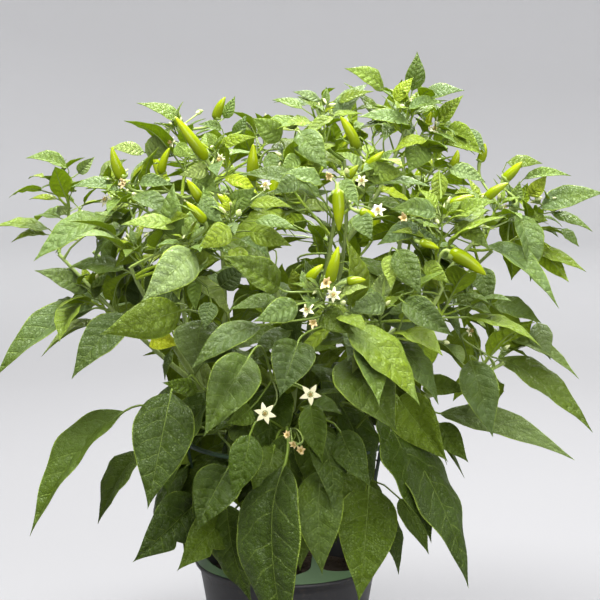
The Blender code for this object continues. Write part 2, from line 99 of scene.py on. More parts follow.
# Each limb: its own route, then its side branches. The first of each pair of radii is the foot's.
LIMBS = {
    "limb_left": (
        ((-0.75, -0.25, 21.3), (-3.6, -1.4, 25.0), (-8.0, -3.0, 30.5)),
        (
            ((-7.8, -2.9, 30.2), (-13.0, -4.0, 35.0), (-20.0, -4.0, 42.3)),
            ((-7.7, -3.0, 30.1), (-11.0, -9.5, 37.5), (-13.0, -12.5, 42.5)),
            ((-7.6, -2.8, 29.9), (-9.5, -3.5, 40.0), (-9.0, -5.5, 47.5)),
            ((-3.4, -1.3, 24.8), (-4.8, -2.8, 25.8), (-6.2, -4.6, 26.4)),
        ),
    ),
    "limb_right": (
        ((0.75, -0.25, 21.3), (3.6, -1.8, 24.6), (7.5, -3.5, 29.0)),
        (
            ((7.5, -3.5, 29.0), (12.5, -5.0, 29.8), (19.0, -6.0, 33.0)),
            ((7.5, -3.5, 29.0), (11.0, -11.0, 36.5), (13.0, -13.5, 41.0)),
            ((7.5, -3.5, 29.0), (12.5, -3.0, 38.5), (20.3, -2.6, 46.6)),
            ((3.4, -1.7, 24.4), (4.6, -3.6, 25.6), (5.6, -5.6, 26.2)),
        ),
    ),
    "limb_back_right": (
        ((0.45, 0.70, 21.3), (3.4, 3.4, 25.4), (6.5, 7.0, 31.0)),
        (
            ((6.5, 7.0, 31.0), (13.0, 7.5, 35.5), (19.0, 6.5, 41.0)),
            ((6.5, 7.0, 31.0), (10.0, 12.0, 35.0), (11.5, 15.0, 39.5)),
            ((6.5, 7.0, 31.0), (10.0, 5.0, 40.0), (10.5, 4.5, 50.0)),
            ((3.2, 3.2, 25.1), (4.4, 4.8, 26.2), (5.2, 6.2, 26.6)),
        ),
    ),
    "limb_back_left": (
        ((-0.45, 0.70, 21.3), (-3.2, 3.6, 25.4), (-6.0, 7.5, 31.0)),
        (
            ((-6.0, 7.5, 31.0), (-12.0, 7.0, 35.5), (-18.0, 6.0, 41.0)),
            ((-6.0, 7.5, 31.0), (-8.5, 12.5, 35.0), (-10.0, 15.5, 39.5)),
            ((-6.0, 7.5, 31.0), (-6.0, 6.5, 40.0), (-7.0, 5.5, 49.0)),
            ((-3.0, 3.4, 25.1), (-4.4, 4.6, 26.2), (-5.6, 5.8, 26.6)),
        ),
    ),
    "limb_centre": (
        ((0.0, -0.1, 21.7), (0.4, -0.7, 27.0), (1.0, -1.5, 33.0)),
        (
            ((1.0, -1.5, 33.0), (2.8, -7.8, 39.0), (4.0, -11.8, 46.5)),
            ((1.0, -1.5, 33.0), (4.6, -2.5, 40.0), (5.0, -3.0, 50.5)),
            ((5.0, -2.6, 43.0), (8.0, -2.6, 47.5), (10.5, -2.4, 53.5)),
            ((1.0, -1.5, 33.0), (-1.6, -1.2, 41.0), (-2.8, -2.6, 48.5)),
            ((0.3, -0.5, 25.5), (0.3, -4.6, 27.8), (0.4, -9.0, 27.4)),
            ((0.7, -1.1, 30.0), (-0.4, -6.0, 31.8), (-1.2, -10.5, 32.4)),
        ),
    ),
}
LIMB_RADII = (0.36, 0.27)
BRANCH_RADII = (0.25, 0.15)
TWIG_RADII = (0.15, 0.09)
SIDE_TWIG_RADII = (0.12, 0.08)

# Leaves that are placed one by one: blade base x and z, blade tip x and z, width, and the share of
# the crown's depth that the blade's base lies at, which is negative on the back. The note says
# what sets a leaf apart: u shows its underside, r is ragged, y yellow, p pale, g lime, n
# plain green, l light.
LOW_LEAVES = (
    (-0.1, 26.5, 0.3, 12.5, 5.1, 1.15, "n"), (2.9, 25.6, 3.0, 17.5, 4.1, 1.10, "l"),
    (7.0, 23.5, 6.0, 15.0, 5.1, 1.10, ""), (9.5, 28.5, 15.0, 16.5, 3.9, 1.05, "n"),
    (-9.8, 31.5, -11.5, 22.8, 5.2, 0.80, ""), (-14.5, 28.0, -22.5, 18.0, 3.0, 0.50, "l"),
    (-7.6, 21.0, -13.2, 16.8, 4.6, 0.80, "rn"), (-5.0, 25.0, -7.5, 20.5, 4.0, 0.95, "n"),
    (13.5, 28.0, 25.0, 25.0, 2.2, 0.50, "lp"), (-7.5, 27.5, -10.5, 15.5, 5.0, -1.00, ""),
    (0.5, 27.0, 1.0, 15.0, 5.2, -1.10, ""), (8.5, 27.0, 13.0, 16.0, 5.0, -1.00, ""),
    (13.5, 27.0, 16.0, 24.0, 2.3, 0.50, ""), (9.5, 31.0, 13.5, 26.5, 3.9, 0.80, ""),
    (4.5, 29.0, 7.0, 25.0, 2.8, 1.00, ""), (2.0, 31.5, 3.0, 27.0, 2.3, 0.95, ""),
    (10.0, 20.5, 12.5, 16.0, 2.3, 0.80, ""), (7.5, 20.5, 9.8, 15.0, 1.9, 0.85, "n"),
    (-13.2, 24.0, -17.0, 18.0, 2.5, 0.40, ""), (-7.0, 19.5, -9.0, 16.5, 3.5, 0.85, "r"),
    (-3.0, 29.0, -4.5, 24.0, 2.8, 1.05, ""), (-4.0, 19.5, -2.5, 15.0, 3.4, 1.00, ""),
    (-3.0, 30.5, -5.0, 29.5, 2.0, 0.80, ""), (0.5, 27.5, -2.0, 27.0, 1.8, 0.85, ""),
    (-4.8, 20.5, -9.3, 16.6, 3.8, 0.95, "r"), (-5.2, 21.5, -3.0, 13.6, 3.8, 1.00, ""),
    (8.0, 30.0, 12.0, 20.0, 4.0, 0.90, ""), (-1.0, 27.5, -2.5, 23.0, 3.4, 0.95, ""),
    (2.5, 29.5, 3.8, 23.0, 2.8, 0.98, "n"), (5.5, 26.0, 4.2, 19.0, 4.0, 0.80, ""),
    (12.0, 30.5, 16.0, 30.5, 1.8, 0.40, ""), (-7.5, 31.5, -10.5, 32.5, 1.5, 0.70, ""),
)
MID_LEAVES = (
    (-17.0, 37.5, -25.5, 32.0, 2.6, 0.40, "l"), (-13.5, 38.0, -18.0, 33.0, 3.2, 0.70, ""),
    (-3.0, 36.0, -6.5, 30.5, 4.0, 1.00, ""), (5.5, 36.0, 9.0, 30.5, 4.9, 0.95, ""),
    (15.8, 33.8, 17.6, 27.6, 3.3, 0.85, "l"), (18.8, 32.4, 27.0, 26.5, 2.2, 0.40, ""),
    (-17.5, 39.0, -22.0, 41.0, 1.9, 0.30, ""), (-7.5, 44.5, -11.5, 41.0, 3.3, 0.95, "lp"),
    (9.5, 40.5, 13.5, 38.0, 2.2, 1.00, ""), (-15.0, 38.0, -22.0, 32.0, 3.8, -0.70, ""),
    (1.0, 38.0, 3.5, 32.0, 4.2, -1.00, ""), (16.0, 37.0, 23.0, 31.0, 3.6, -0.70, ""),
    (14.5, 39.5, 11.5, 40.5, 2.6, 0.50, "u"), (8.0, 40.5, 5.0, 40.0, 2.0, 0.95, ""),
    (11.0, 38.0, 7.0, 38.5, 2.4, 0.70, ""), (3.0, 40.0, 5.5, 38.5, 2.1, 1.00, ""),
    (5.0, 38.7, 10.6, 33.0, 3.0, 1.05, "lg"), (8.5, 37.0, 12.5, 32.0, 2.5, 0.90, ""),
    (16.5, 41.5, 17.5, 38.5, 2.1, 0.50, ""), (15.5, 40.0, 15.0, 37.5, 1.9, 0.60, ""),
    (18.5, 37.5, 22.5, 36.0, 1.8, 0.20, ""), (19.0, 33.5, 22.0, 36.0, 2.3, 0.40, "u"),
    (22.5, 35.5, 23.5, 32.5, 2.2, 0.10, ""), (20.0, 34.0, 26.0, 31.0, 1.4, 0.20, ""),
    (11.5, 36.5, 11.5, 33.0, 2.6, 0.60, "u"), (-8.5, 39.5, -15.0, 38.0, 3.4, 0.90, ""),
    (-2.0, 39.0, -7.5, 36.0, 1.9, 1.05, "n"), (1.0, 41.0, -2.5, 40.0, 2.1, 1.10, "l"),
    (-7.0, 38.0, -7.5, 34.0, 4.2, 0.70, ""), (-10.0, 34.5, -10.5, 32.0, 0.9, 0.50, ""),
    (-11.5, 36.0, -9.0, 35.5, 2.1, 0.60, "y"), (1.0, 37.0, -0.5, 33.0, 3.6, 0.90, ""),
    (-6.0, 40.5, -6.5, 38.5, 1.6, 0.95, ""), (-17.0, 38.5, -15.5, 41.0, 1.2, 0.40, ""),
    (-17.5, 38.0, -20.0, 37.5, 0.8, 0.20, ""), (-5.5, 41.0, -3.5, 43.0, 2.0, 0.70, ""),
    (1.0, 41.0, 0.5, 43.0, 1.5, 0.80, ""), (-0.5, 41.0, -4.5, 40.5, 1.3, 1.00, ""),
    (-8.5, 41.0, -11.0, 40.5, 1.8, 0.80, ""), (-12.0, 43.5, -14.5, 42.0, 2.1, 0.50, "u"),
    (-0.5, 42.0, -5.0, 45.0, 2.4, 1.00, ""), (9.0, 44.5, 11.0, 41.0, 2.3, 0.95, ""),
)
TOP_LEAVES = (
    (11.0, 56.3, 11.4, 59.8, 1.8, 0.30, ""), (-9.0, 53.5, -13.0, 55.5, 1.4, 0.20, ""),
    (22.5, 46.0, 28.0, 47.5, 1.9, 0.20, "n"), (17.5, 43.0, 23.5, 38.0, 2.1, 0.35, "n"),
    (-15.5, 46.0, -21.5, 42.5, 2.1, 0.60, ""), (-21.3, 44.0, -26.0, 44.5, 1.2, 0.10, ""),
    (6.5, 50.5, 10.0, 50.5, 1.9, 0.90, ""), (-6.0, 51.0, -9.5, 49.0, 2.4, -0.90, ""),
    (8.5, 56.5, 5.0, 58.5, 1.7, 0.40, ""), (12.0, 56.0, 15.5, 56.5, 1.5, 0.30, "n"),
    (10.5, 55.0, 13.5, 55.5, 1.1, 0.70, ""), (10.5, 54.0, 6.0, 54.5, 1.4, 0.70, ""),
    (13.5, 53.5, 15.5, 56.0, 1.4, 0.30, ""), (14.0, 53.0, 17.0, 51.0, 2.3, 0.60, ""),
    (15.8, 53.0, 17.4, 51.0, 1.2, 0.40, "n"), (12.0, 52.5, 9.0, 51.5, 1.2, 0.80, ""),
    (12.0, 52.0, 10.5, 49.5, 2.5, 0.40, ""), (4.0, 54.5, 1.5, 52.5, 1.2, 0.60, ""),
    (3.0, 55.5, 0.5, 56.5, 0.8, 0.30, ""), (4.5, 55.5, 7.5, 56.5, 1.1, 0.30, ""),
    (1.0, 53.5, 3.5, 50.5, 2.6, 0.70, ""), (3.0, 49.5, -0.5, 50.5, 1.5, 0.80, ""),
    (6.5, 49.5, 12.0, 49.5, 1.0, 0.85, ""), (4.5, 50.0, 6.0, 48.0, 1.5, 0.95, ""),
    (14.0, 50.0, 17.0, 49.0, 1.4, 0.70, ""), (13.0, 50.0, 12.5, 47.0, 1.4, 0.75, ""),
    (12.5, 47.0, 8.5, 47.5, 1.8, 0.95, ""), (14.0, 46.5, 17.5, 48.0, 1.5, 0.90, ""),
    (14.0, 46.0, 17.0, 44.0, 1.7, 0.95, ""), (6.0, 47.5, 7.0, 45.5, 1.8, 1.00, ""),
    (11.0, 46.0, 7.5, 44.5, 1.8, 0.80, ""), (10.5, 45.0, 13.0, 44.5, 1.2, 0.70, ""),
    (11.5, 43.0, 13.5, 41.5, 1.5, 0.80, ""), (8.5, 44.0, 8.5, 41.5, 1.6, 0.90, ""),
    (20.4, 45.6, 21.3, 40.0, 2.6, 0.98, "n"), (22.0, 42.0, 26.5, 40.5, 1.3, 0.20, ""),
    (22.0, 43.0, 25.0, 39.5, 1.4, 0.20, "u"), (23.5, 45.5, 27.0, 44.0, 1.1, 0.20, ""),
    (24.5, 44.0, 26.0, 42.5, 0.9, 0.10, ""), (21.5, 47.0, 23.0, 49.0, 1.4, 0.30, ""),
    (21.0, 48.5, 25.0, 49.0, 0.9, 0.20, ""), (19.5, 50.0, 22.5, 50.0, 1.1, 0.20, ""),
    (20.0, 46.5, 20.5, 48.5, 1.2, 0.60, ""), (21.5, 45.5, 23.0, 45.0, 1.4, 0.50, ""),
    (-5.5, 54.0, -4.5, 56.0, 1.1, 0.20, ""), (-5.5, 53.5, -7.5, 54.0, 0.9, 0.60, ""),
    (-6.0, 52.0, -2.5, 53.0, 1.0, 0.60, ""), (-0.5, 52.5, -3.0, 54.5, 2.1, 0.50, ""),
    (-4.5, 52.5, -3.5, 54.5, 1.2, 0.30, ""), (1.0, 53.5, -1.0, 54.5, 1.2, 0.30, ""),
    (-12.0, 50.5, -10.0, 53.5, 1.9, 0.30, ""), (-9.5, 52.0, -8.0, 51.0, 1.4, 0.50, ""),
    (-6.5, 50.5, -9.0, 50.0, 1.4, 0.70, ""), (-12.5, 51.0, -15.5, 51.5, 1.1, 0.20, ""),
    (-19.5, 49.5, -23.0, 50.5, 1.3, 0.10, ""), (-20.0, 49.0, -19.5, 47.0, 1.8, 0.20, "u"),
    (-18.5, 49.0, -17.0, 50.5, 1.1, 0.20, ""), (-15.0, 48.5, -18.5, 48.5, 1.2, 0.60, ""),
    (-16.5, 49.0, -14.0, 50.5, 1.1, 0.30, ""), (-12.5, 49.0, -9.5, 49.0, 1.2, 0.70, ""),
    (-13.0, 48.0, -9.0, 46.0, 1.5, 0.80, ""), (-9.0, 46.0, -13.5, 46.5, 1.3, 0.85, ""),
    (-21.5, 43.5, -24.5, 43.0, 0.8, 0.10, ""), (-20.5, 45.5, -19.0, 46.0, 0.9, 0.10, ""),
    (-18.0, 43.5, -16.5, 45.0, 0.7, 0.20, ""), (-10.5, 45.5, -8.5, 44.0, 1.7, 0.60, ""),
    (-4.5, 46.5, -7.0, 45.0, 2.0, 1.00, ""), (-8.0, 43.0, -5.5, 43.5, 2.0, 0.70, ""),
    (-8.0, 49.5, -5.5, 48.5, 1.9, 0.60, ""), (-7.0, 48.5, -5.0, 46.5, 1.7, 0.95, ""),
    (-4.5, 48.0, -2.5, 49.5, 1.7, 0.90, ""), (-3.0, 48.0, 0.5, 48.0, 1.0, 0.90, ""),
    (-2.5, 47.0, 1.0, 46.5, 1.1, 1.00, ""), (-3.0, 46.0, 0.5, 45.0, 1.8, 0.90, ""),
    (1.0, 51.5, -0.5, 50.5, 1.4, 0.70, ""), (1.0, 50.0, -1.0, 49.0, 1.7, 0.90, ""),
    (-1.5, 51.5, -0.5, 49.0, 1.6, 0.50, ""),
)
# How many rows of each table, from its first, have a solid in the frame.
FRAMED = {"low": 12, "mid": 12, "top": 8, "pepper": 9, "flower": 3}

# Shoot tips: x, z and crown depth, negative on the back.
SHOOTS = (
    (10.0, 55.0, 0.4), (13.0, 53.0, 0.4), (3.0, 54.5, 0.4), (7.5, 50.5, 0.8), (13.0, 46.5, 0.9),
    (18.5, 46.5, 0.7), (23.0, 46.0, 0.2), (-6.0, 51.5, 0.6), (-9.5, 53.0, 0.3), (-14.5, 48.5, 0.5),
    (-20.0, 48.0, 0.1), (-4.5, 47.0, 0.9), (-8.0, 45.0, 0.9), (3.0, 41.5, 1.0), (19.0, 34.0, 0.3),
    (-17.0, 39.0, 0.3), (14.5, 40.5, 0.7), (7.8, 39.5, 0.9), (-12.5, 43.5, 0.6), (0.0, 50.5, 0.5),
    (8.0, 52.0, -0.6), (13.5, 49.0, -0.6), (4.0, 50.0, -0.8), (12.0, 44.0, -0.9),
    (-2.0, 52.0, -0.5), (17.5, 44.0, -0.7), (-7.0, 49.0, -0.7), (-14.0, 46.0, -0.6),
    (-4.0, 45.5, -0.95), (-9.5, 42.0, -0.9), (4.0, 40.0, -1.0), (-15.0, 38.5, -0.7),
    (16.0, 37.5, -0.7), (-1.0, 35.0, -1.0), (9.0, 34.0, -0.95), (-8.0, 33.0, -0.95),
)

# Fruits: shoulder x and z, tip x and z, greatest radius and crown depth.
PEPPERS = (
    (-6.7, 51.2, -9.3, 54.9, 0.62, 0.75), (-2.8, 49.2, -2.8, 52.4, 0.62, 0.50),
    (-14.1, 49.0, -15.0, 51.9, 0.58, 0.55), (4.2, 49.4, 4.3, 46.0, 0.62, 1.00),
    (13.5, 44.0, 16.5, 42.1, 0.72, 0.95), (19.1, 48.5, 20.7, 50.2, 0.52, 0.60),
    (-1.5, 44.6, -0.9, 48.0, 0.60, -0.90), (12.0, 47.0, 14.6, 49.6, 0.60, -0.80),
    (-11.5, 46.5, -13.0, 49.6, 0.58, -0.85),
    (-6.2, 54.0, -5.3, 56.0, 0.48, 0.30), (-10.7, 49.7, -9.9, 52.0, 0.46, 0.60),
    (-6.9, 48.0, -8.2, 50.0, 0.50, 0.85), (-6.6, 46.7, -8.1, 48.4, 0.48, 0.95),
    (-4.7, 47.9, -5.6, 48.9, 0.42, 0.90), (6.0, 52.0, 4.5, 54.8, 0.56, 0.70),
    (6.4, 50.3, 8.1, 52.1, 0.50, 0.80), (5.1, 49.9, 6.0, 51.0, 0.40, 0.80),
    (14.3, 49.9, 14.8, 51.5, 0.44, 0.50), (17.0, 50.1, 17.4, 51.8, 0.44, 0.50),
    (17.2, 47.2, 19.2, 48.7, 0.48, 0.70), (13.7, 47.3, 15.8, 48.2, 0.48, 0.85),
    (6.0, 47.6, 7.3, 47.2, 0.44, 1.00), (3.5, 42.4, 4.2, 45.4, 0.56, 1.00),
    (1.8, 42.6, 3.0, 43.9, 0.48, 1.00), (4.9, 42.4, 6.4, 42.6, 0.42, 1.00),
    (11.0, 44.8, 12.6, 44.3, 0.42, 0.90), (12.1, 53.2, 12.6, 54.6, 0.38, 0.30),
    (5.0, 48.5, 5.6, 51.4, 0.54, -0.85), (-5.5, 47.5, -7.0, 50.0, 0.52, -0.90),
    (16.5, 44.5, 18.6, 46.3, 0.50, -0.65), (8.5, 41.0, 9.0, 43.8, 0.54, -1.00),
)

# Open flowers, withered flowers and large buds: x, z and crown depth.
FLOWERS = (
    (2.0, 32.9, 1.05), (-1.7, 31.3, 1.10), (-1.5, 34.0, -1.15), (-20.3, 48.8, 0.20),
    (-15.7, 47.3, 0.60), (-10.0, 52.2, 0.50), (-5.6, 51.2, 0.70), (-1.7, 49.5, 0.85),
    (6.2, 49.9, 0.95), (12.9, 53.1, 0.45), (19.2, 46.2, 0.75), (24.0, 46.0, 0.20),
    (7.5, 47.7, 1.00), (3.8, 41.7, 1.08), (1.7, 40.5, 1.08), (15.8, 36.3, 0.75),
    (8.0, 45.0, -1.05), (-10.0, 44.0, -1.05), (2.5, 48.0, -1.00), (14.0, 41.0, -0.95),
)
WITHERED = (
    (-13.9, 48.9, 0.65), (3.5, 50.2, 0.85), (3.2, 42.6, 1.08), (9.7, 46.9, 0.98),
    (0.7, 28.2, 1.08), (2.2, 39.4, 1.08), (-6.0, 45.0, -1.00), (0.1, 29.0, 1.08), (1.2, 27.6, 1.10),
)
BUDS = (
    (12.5, 46.4, 0.95), (13.5, 35.9, 0.85), (19.7, 33.4, 0.45), (-7.7, 54.6, 0.30),
    (-19.2, 47.6, 0.25), (-13.0, 48.0, 0.65), (5.0, 50.6, 0.90), (10.0, 55.2, 0.60),
    (22.3, 46.8, 0.40), (4.6, 40.9, 1.05), (-3.8, 47.6, 0.98), (6.0, 44.0, -1.00),
)

# ---------------------------------------------------------------- settings


def metres(name, default, description):
    """A length that shows in the panel."""
    return bpy.props.FloatProperty(
        name=name, description=description, default=default, unit="LENGTH", precision=4
    )


def number(name, default, description):
    """A plain number that shows in the panel."""
    return bpy.props.FloatProperty(name=name, description=description, default=default)


def whole(name, default, description):
    """A whole number that shows in the panel."""
    return bpy.props.IntProperty(name=name, description=description, default=default, min=0)


def colour(name, default, description):
    """A colour that shows in the panel."""
    return bpy.props.FloatVectorProperty(
        name=name, description=description, default=default, subtype="COLOR", min=0, max=1
    )


class PlantSizes(bpy.types.PropertyGroup):
    """Shapes and numbers of the plant's pieces."""

    leaf_thickness: metres("Leaf thickness", 0.00035, "Thickness of a leaf blade in its middle")
    leaf_ratio: number("Leaf ratio", 0.46, "Width of a leaf over its length")
    leaf_fold: number("Leaf fold", 0.56, "How far a blade folds up along its midrib")
    leaf_curl: number("Leaf curl", 0.34, "How far a blade's margins turn down again")
    leaf_quilting: number("Leaf quilting", 0.030, "How far a blade swells between its side veins")
    leaf_ripple: number("Leaf ripple", 0.085, "How far a blade's margins wave")
    leaf_crinkle: number("Leaf crinkle", 0.050, "How far a blade buckles between its side veins")
    skirt_leaves: whole("Skirt leaves", 44, "Old leaves that hang around the support")
    inner_leaves: whole("Inner leaves", 36, "Leaves that each limb carries inside the crown")
    shoot_leaves: whole("Shoot leaves", 8, "Young leaves around each shoot's tip")
    tip_leaves: whole("Tip leaves", 6, "Unfolding leaves in the tuft at each shoot's tip")
    tip_buds: whole("Tip buds", 3, "Flower buds at each shoot's tip")
    soil_grains: whole("Grains", 260, "Loose crumbs and bark chips on the growing mix")


class PlantColours(bpy.types.PropertyGroup):
    """Colours of the plant, its pot and its support."""

    pot: colour("Pot", (0.016, 0.016, 0.017), "Moulded pot")
    mix: colour("Growing mix", (0.024, 0.014, 0.009), "Damp peat")
    support: colour("Support", (0.062, 0.112, 0.047), "Moulded plant support")
    stem: colour("Stem", (0.066, 0.086, 0.014), "Green bark")
    young: colour("Young leaf", (0.172, 0.262, 0.040), "Upper face of a leaf at a shoot's tip")
    mature: colour("Mature leaf", (0.068, 0.108, 0.005), "Upper face of a full-grown leaf")
    old: colour("Old leaf", (0.029, 0.052, 0.001), "Upper face of a leaf low on the plant")
    underside: colour("Leaf underside", (0.220, 0.320, 0.006), "Lower face of a leaf")
    vein: colour("Leaf vein", (0.290, 0.390, 0.090), "Midrib and side veins")
    glow: colour("Leaf glow", (0.410, 0.530, 0.010), "Light that a leaf lets through")
    # Pale leaf: a bleached colour that is partly the leaf's own and partly a painted sheen on its
    # crinkles.
    pale: colour("Pale leaf", (0.305, 0.375, 0.230), "The palest and most crinkled of the leaves")
    lime: colour("Lime leaf", (0.300, 0.410, 0.006), "The yellowest of the young leaves")
    # A bluish grey-green painted sheen, standing in for light reflected from the leaf tops.
    bloom: colour("Bloom", (0.112, 0.166, 0.080), "Bluish bloom on some of the leaves")
    fruit: colour("Fruit", (0.137, 0.186, 0.001), "Unripe fruit")
    fruit_tip: colour("Fruit tip", (0.250, 0.310, 0.003), "Tip of an unripe fruit")
    petal: colour("Petal", (0.860, 0.820, 0.560), "Open flower")


class StageSettings(bpy.types.PropertyGroup):
    """The camera, the lights and the backdrop."""

    distance: metres("Camera distance", 1.80, "From the camera to the point it looks at")
    elevation: bpy.props.FloatProperty(
        name="Camera elevation", default=math.radians(10), subtype="ANGLE",
        description="How far the camera looks down",
    )
    aim: bpy.props.FloatVectorProperty(
        name="Aim", default=(0.0115, 0.0, 0.375), subtype="XYZ", unit="LENGTH",
        description="The point that the camera looks at",
    )
    view_width: metres("View width", 0.54, "Width of the picture at the point looked at")
    backdrop: colour("Backdrop", (0.46, 0.46, 0.47), "Paper backdrop")


def sizes():
    """The panel's shapes and numbers."""
    return bpy.context.scene.pepper_sizes


def colours():
    """The panel's colours."""
    return bpy.context.scene.pepper_colours


# ---------------------------------------------------------------- shader maths


def maths(operation, reflected=False):
    """A method that adds one Math node for a value and for what it meets."""
    def method(self, *others):
        values = (*others, self) if reflected else (self, *others)
        return self.math(operation, *values)
    return method


class Value:
    """A number in a material that can be used in arithmetic."""

    def __init__(self, shader, socket):
        self.shader = shader
        self.socket = socket

    def math(self, operation, *values):
        """Adds a Math node."""
        return self.shader.node("ShaderNodeMath", {"operation": operation}, dict(enumerate(values)))

    __add__ = maths("ADD")
    __radd__ = maths("ADD", reflected=True)
    __sub__ = maths("SUBTRACT")
    __rsub__ = maths("SUBTRACT", reflected=True)
    __mul__ = maths("MULTIPLY")
    __rmul__ = maths("MULTIPLY", reflected=True)
    __truediv__ = maths("DIVIDE")
    __pow__ = maths("POWER")
    __abs__ = maths("ABSOLUTE")
    __gt__ = maths("GREATER_THAN")
    fraction = maths("FRACT")

    def clamped(self):
        """The same number, kept between 0 and 1."""
        return self.shader.node("ShaderNodeClamp", {}, {0: self})

    def step(self, low, high):
        """0 below low, 1 above high and a smooth ramp between, or the reverse if high is lower."""
        settings = {"interpolation_type": "SMOOTHSTEP"}
        return self.shader.node("ShaderNodeMapRange", settings, {0: self, 1: low, 2: high})


class Shader:
    """Builds one material's nodes."""

    def __init__(self, name):
        self.material = bpy.data.materials.new(name)
        self.material.use_nodes = True
        self.tree = self.material.node_tree
        self.tree.nodes.clear()

    def node(self, kind, settings=None, values=None, output=0):
        """Adds a node, sets it up, fills its sockets with numbers or links, and gives an output."""
        made = self.tree.nodes.new(kind)
        for name, value in (settings or {}).items():
            setattr(made, name, value)
        for name, value in (values or {}).items():
            if isinstance(value, Value):
                self.tree.links.new(value.socket, made.inputs[name])
            else:
                made.inputs[name].default_value = value
        return Value(self, made.outputs[output]) if made.outputs else None

    def place(self):
        """Where the surface is, in the object's own space."""
        return self.node("ShaderNodeTexCoord", output=3)

    def split(self, vector):
        """The three parts of a vector."""
        return [self.node("ShaderNodeSeparateXYZ", {}, {0: vector}, i) for i in range(3)]

    def join(self, x, y, z):
        """A vector of three values."""
        return self.node("ShaderNodeCombineXYZ", {}, {0: x, 1: y, 2: z})

    def attribute(self, name):
        """The three numbers that look() gave a piece."""
        return self.node("ShaderNodeAttribute", {"attribute_name": name}, output=1)

    def part_map(self):
        """The two numbers of the piece's own UV map, which say what is where on it."""
        x, y, _ = self.split(self.node("ShaderNodeUVMap", {"uv_map": PARTS}))
        return x, y

    def noise(self, scale, detail=3.0, at=None):
        """Cloudy numbers around 0.5."""
        values = {"Scale": scale, "Detail": detail, "Vector": at or self.place()}
        return self.node("ShaderNodeTexNoise", {}, values)

    def cells(self, scale, feature="F1"):
        """Distance to the nearest point of a scatter, or to the edge between two."""
        values = {"Scale": scale, "Vector": self.place()}
        return self.node("ShaderNodeTexVoronoi", {"feature": feature}, values)

    def mix(self, factor, first, second, blend="MIX"):
        """Blends two colours."""
        first, second = (c if isinstance(c, Value) else (*c[:3], 1) for c in (first, second))
        settings = {"data_type": "RGBA", "blend_type": blend}
        return self.node("ShaderNodeMix", settings, {0: factor, 6: first, 7: second}, 2)

    def scale(self, tint, value):
        """A colour with each of its channels multiplied by a number."""
        return self.mix(1.0, tint, self.join(value, value, value), "MULTIPLY")

    def bump(self, height, distance, strength=1.0):
        """A normal for a relief of this height."""
        values = {"Height": height, "Distance": distance, "Strength": strength}
        return self.node("ShaderNodeBump", {}, values)

    def finish(self, glow=None, glow_share=0.0, **values):
        """The surface, mixed with one that lets light through if its glow is given."""
        sockets = {
            name.replace("_", " ").title().replace("Ior", "IOR"): value
            for name, value in values.items()
        }
        surface = self.node("ShaderNodeBsdfPrincipled", {}, sockets)
        if glow is not None:
            lit = self.node("ShaderNodeBsdfTranslucent", {}, {0: (*glow[:3], 1)})
            surface = self.node("ShaderNodeMixShader", {}, {0: glow_share, 1: surface, 2: lit})
        self.node("ShaderNodeOutputMaterial", {}, {0: surface})
        return self.material


def finish_once(build):
    """Makes a material the first time that it is asked for."""
    def found():
        return bpy.data.materials.get(build.__name__) or build(Shader(build.__name__))
    return found


# ---------------------------------------------------------------- modelling

NEAR = 1e-4  # places closer together than this count as the same
PARTS = "Part"  # the UV map that tells a material what is where on a piece


def deselect():
    """Leaves nothing selected, so that the next operator acts only on what it adds."""
    bpy.ops.object.select_all(action="DESELECT")


def pick(obj):
    """Leaves one object selected and active."""
    deselect()
    obj.select_set(True)
    bpy.context.view_layer.objects.active = obj


def open_mesh(obj):
    """Opens one object's mesh in edit mode."""
    pick(obj)
    bpy.ops.object.mode_set(mode="EDIT")


def close_mesh():
    """Goes back from edit mode to object mode."""
    bpy.ops.object.mode_set(mode="OBJECT")


def choose(kind, test):
    """Selects, in the open mesh, only the vertices, edges or faces that pass a test."""
    bpy.ops.mesh.select_mode(type={"verts": "VERT", "edges": "EDGE", "faces": "FACE"}[kind])
    bpy.ops.mesh.select_all(action="DESELECT")
    mesh = bmesh.from_edit_mesh(bpy.context.object.data)
    for part in getattr(mesh, kind):
        part.select_set(bool(test(part)))
    mesh.select_flush_mode()
    bmesh.update_edit_mesh(bpy.context.object.data)


def extrude(move, size=(1, 1, 1), centre=(0, 0, 0)):
    """Draws the selected faces out by a step and then scales them about a centre."""
    bpy.ops.mesh.extrude_region_move(TRANSFORM_OT_translate={"value": move})
    bpy.ops.transform.resize(value=size, center_override=centre)


def apply_modifier(obj, kind, **settings):
    """Adds a modifier, sets it up and applies it."""
    pick(obj)
    modifier = obj.modifiers.new(kind.title(), kind)
    for name, value in settings.items():
        setattr(modifier, name, value)
    bpy.ops.object.modifier_apply(modifier=modifier.name)


def face_outwards(obj):
    """Turns the faces of a closed mesh outwards."""
    open_mesh(obj)
    bpy.ops.mesh.select_all(action="SELECT")
    bpy.ops.mesh.normals_make_consistent(inside=False)
    close_mesh()


def join(objects, name):
    """Joins objects into the first of them."""
    joined = objects[0]
    pick(joined)
    for obj in objects:
        obj.select_set(True)
    if len(objects) > 1:
        bpy.ops.object.join()
    joined.name = name
    joined.data.name = name
    return joined


def settle(obj):
    """Moves an object's place, turn and scale into its mesh."""
    pick(obj)
    bpy.ops.object.transform_apply(location=True, rotation=True, scale=True)


def smooth(obj, angle=50):
    """Shades smooth, with sharp edges where faces meet at more than this many degrees."""
    obj.data.shade_smooth()
    obj.data.set_sharp_from_angle(angle=math.radians(angle))
    return obj


def open_circle(radius, z, segments, fill="NOTHING"):
    """Adds a circle around the pot's axis and opens its mesh with all of it selected."""
    deselect()
    bpy.ops.mesh.primitive_circle_add(
        vertices=segments, radius=radius, fill_type=fill, location=(0, 0, z)
    )
    made = bpy.context.object
    settle(made)
    open_mesh(made)
    bpy.ops.mesh.select_all(action="SELECT")
    return made


def places(mesh):
    """The vertices of a mesh as rows of x, y and z."""
    found = np.zeros(len(mesh.vertices) * 3, np.float32)
    mesh.vertices.foreach_get("co", found)
    return found.reshape(-1, 3).astype(float)


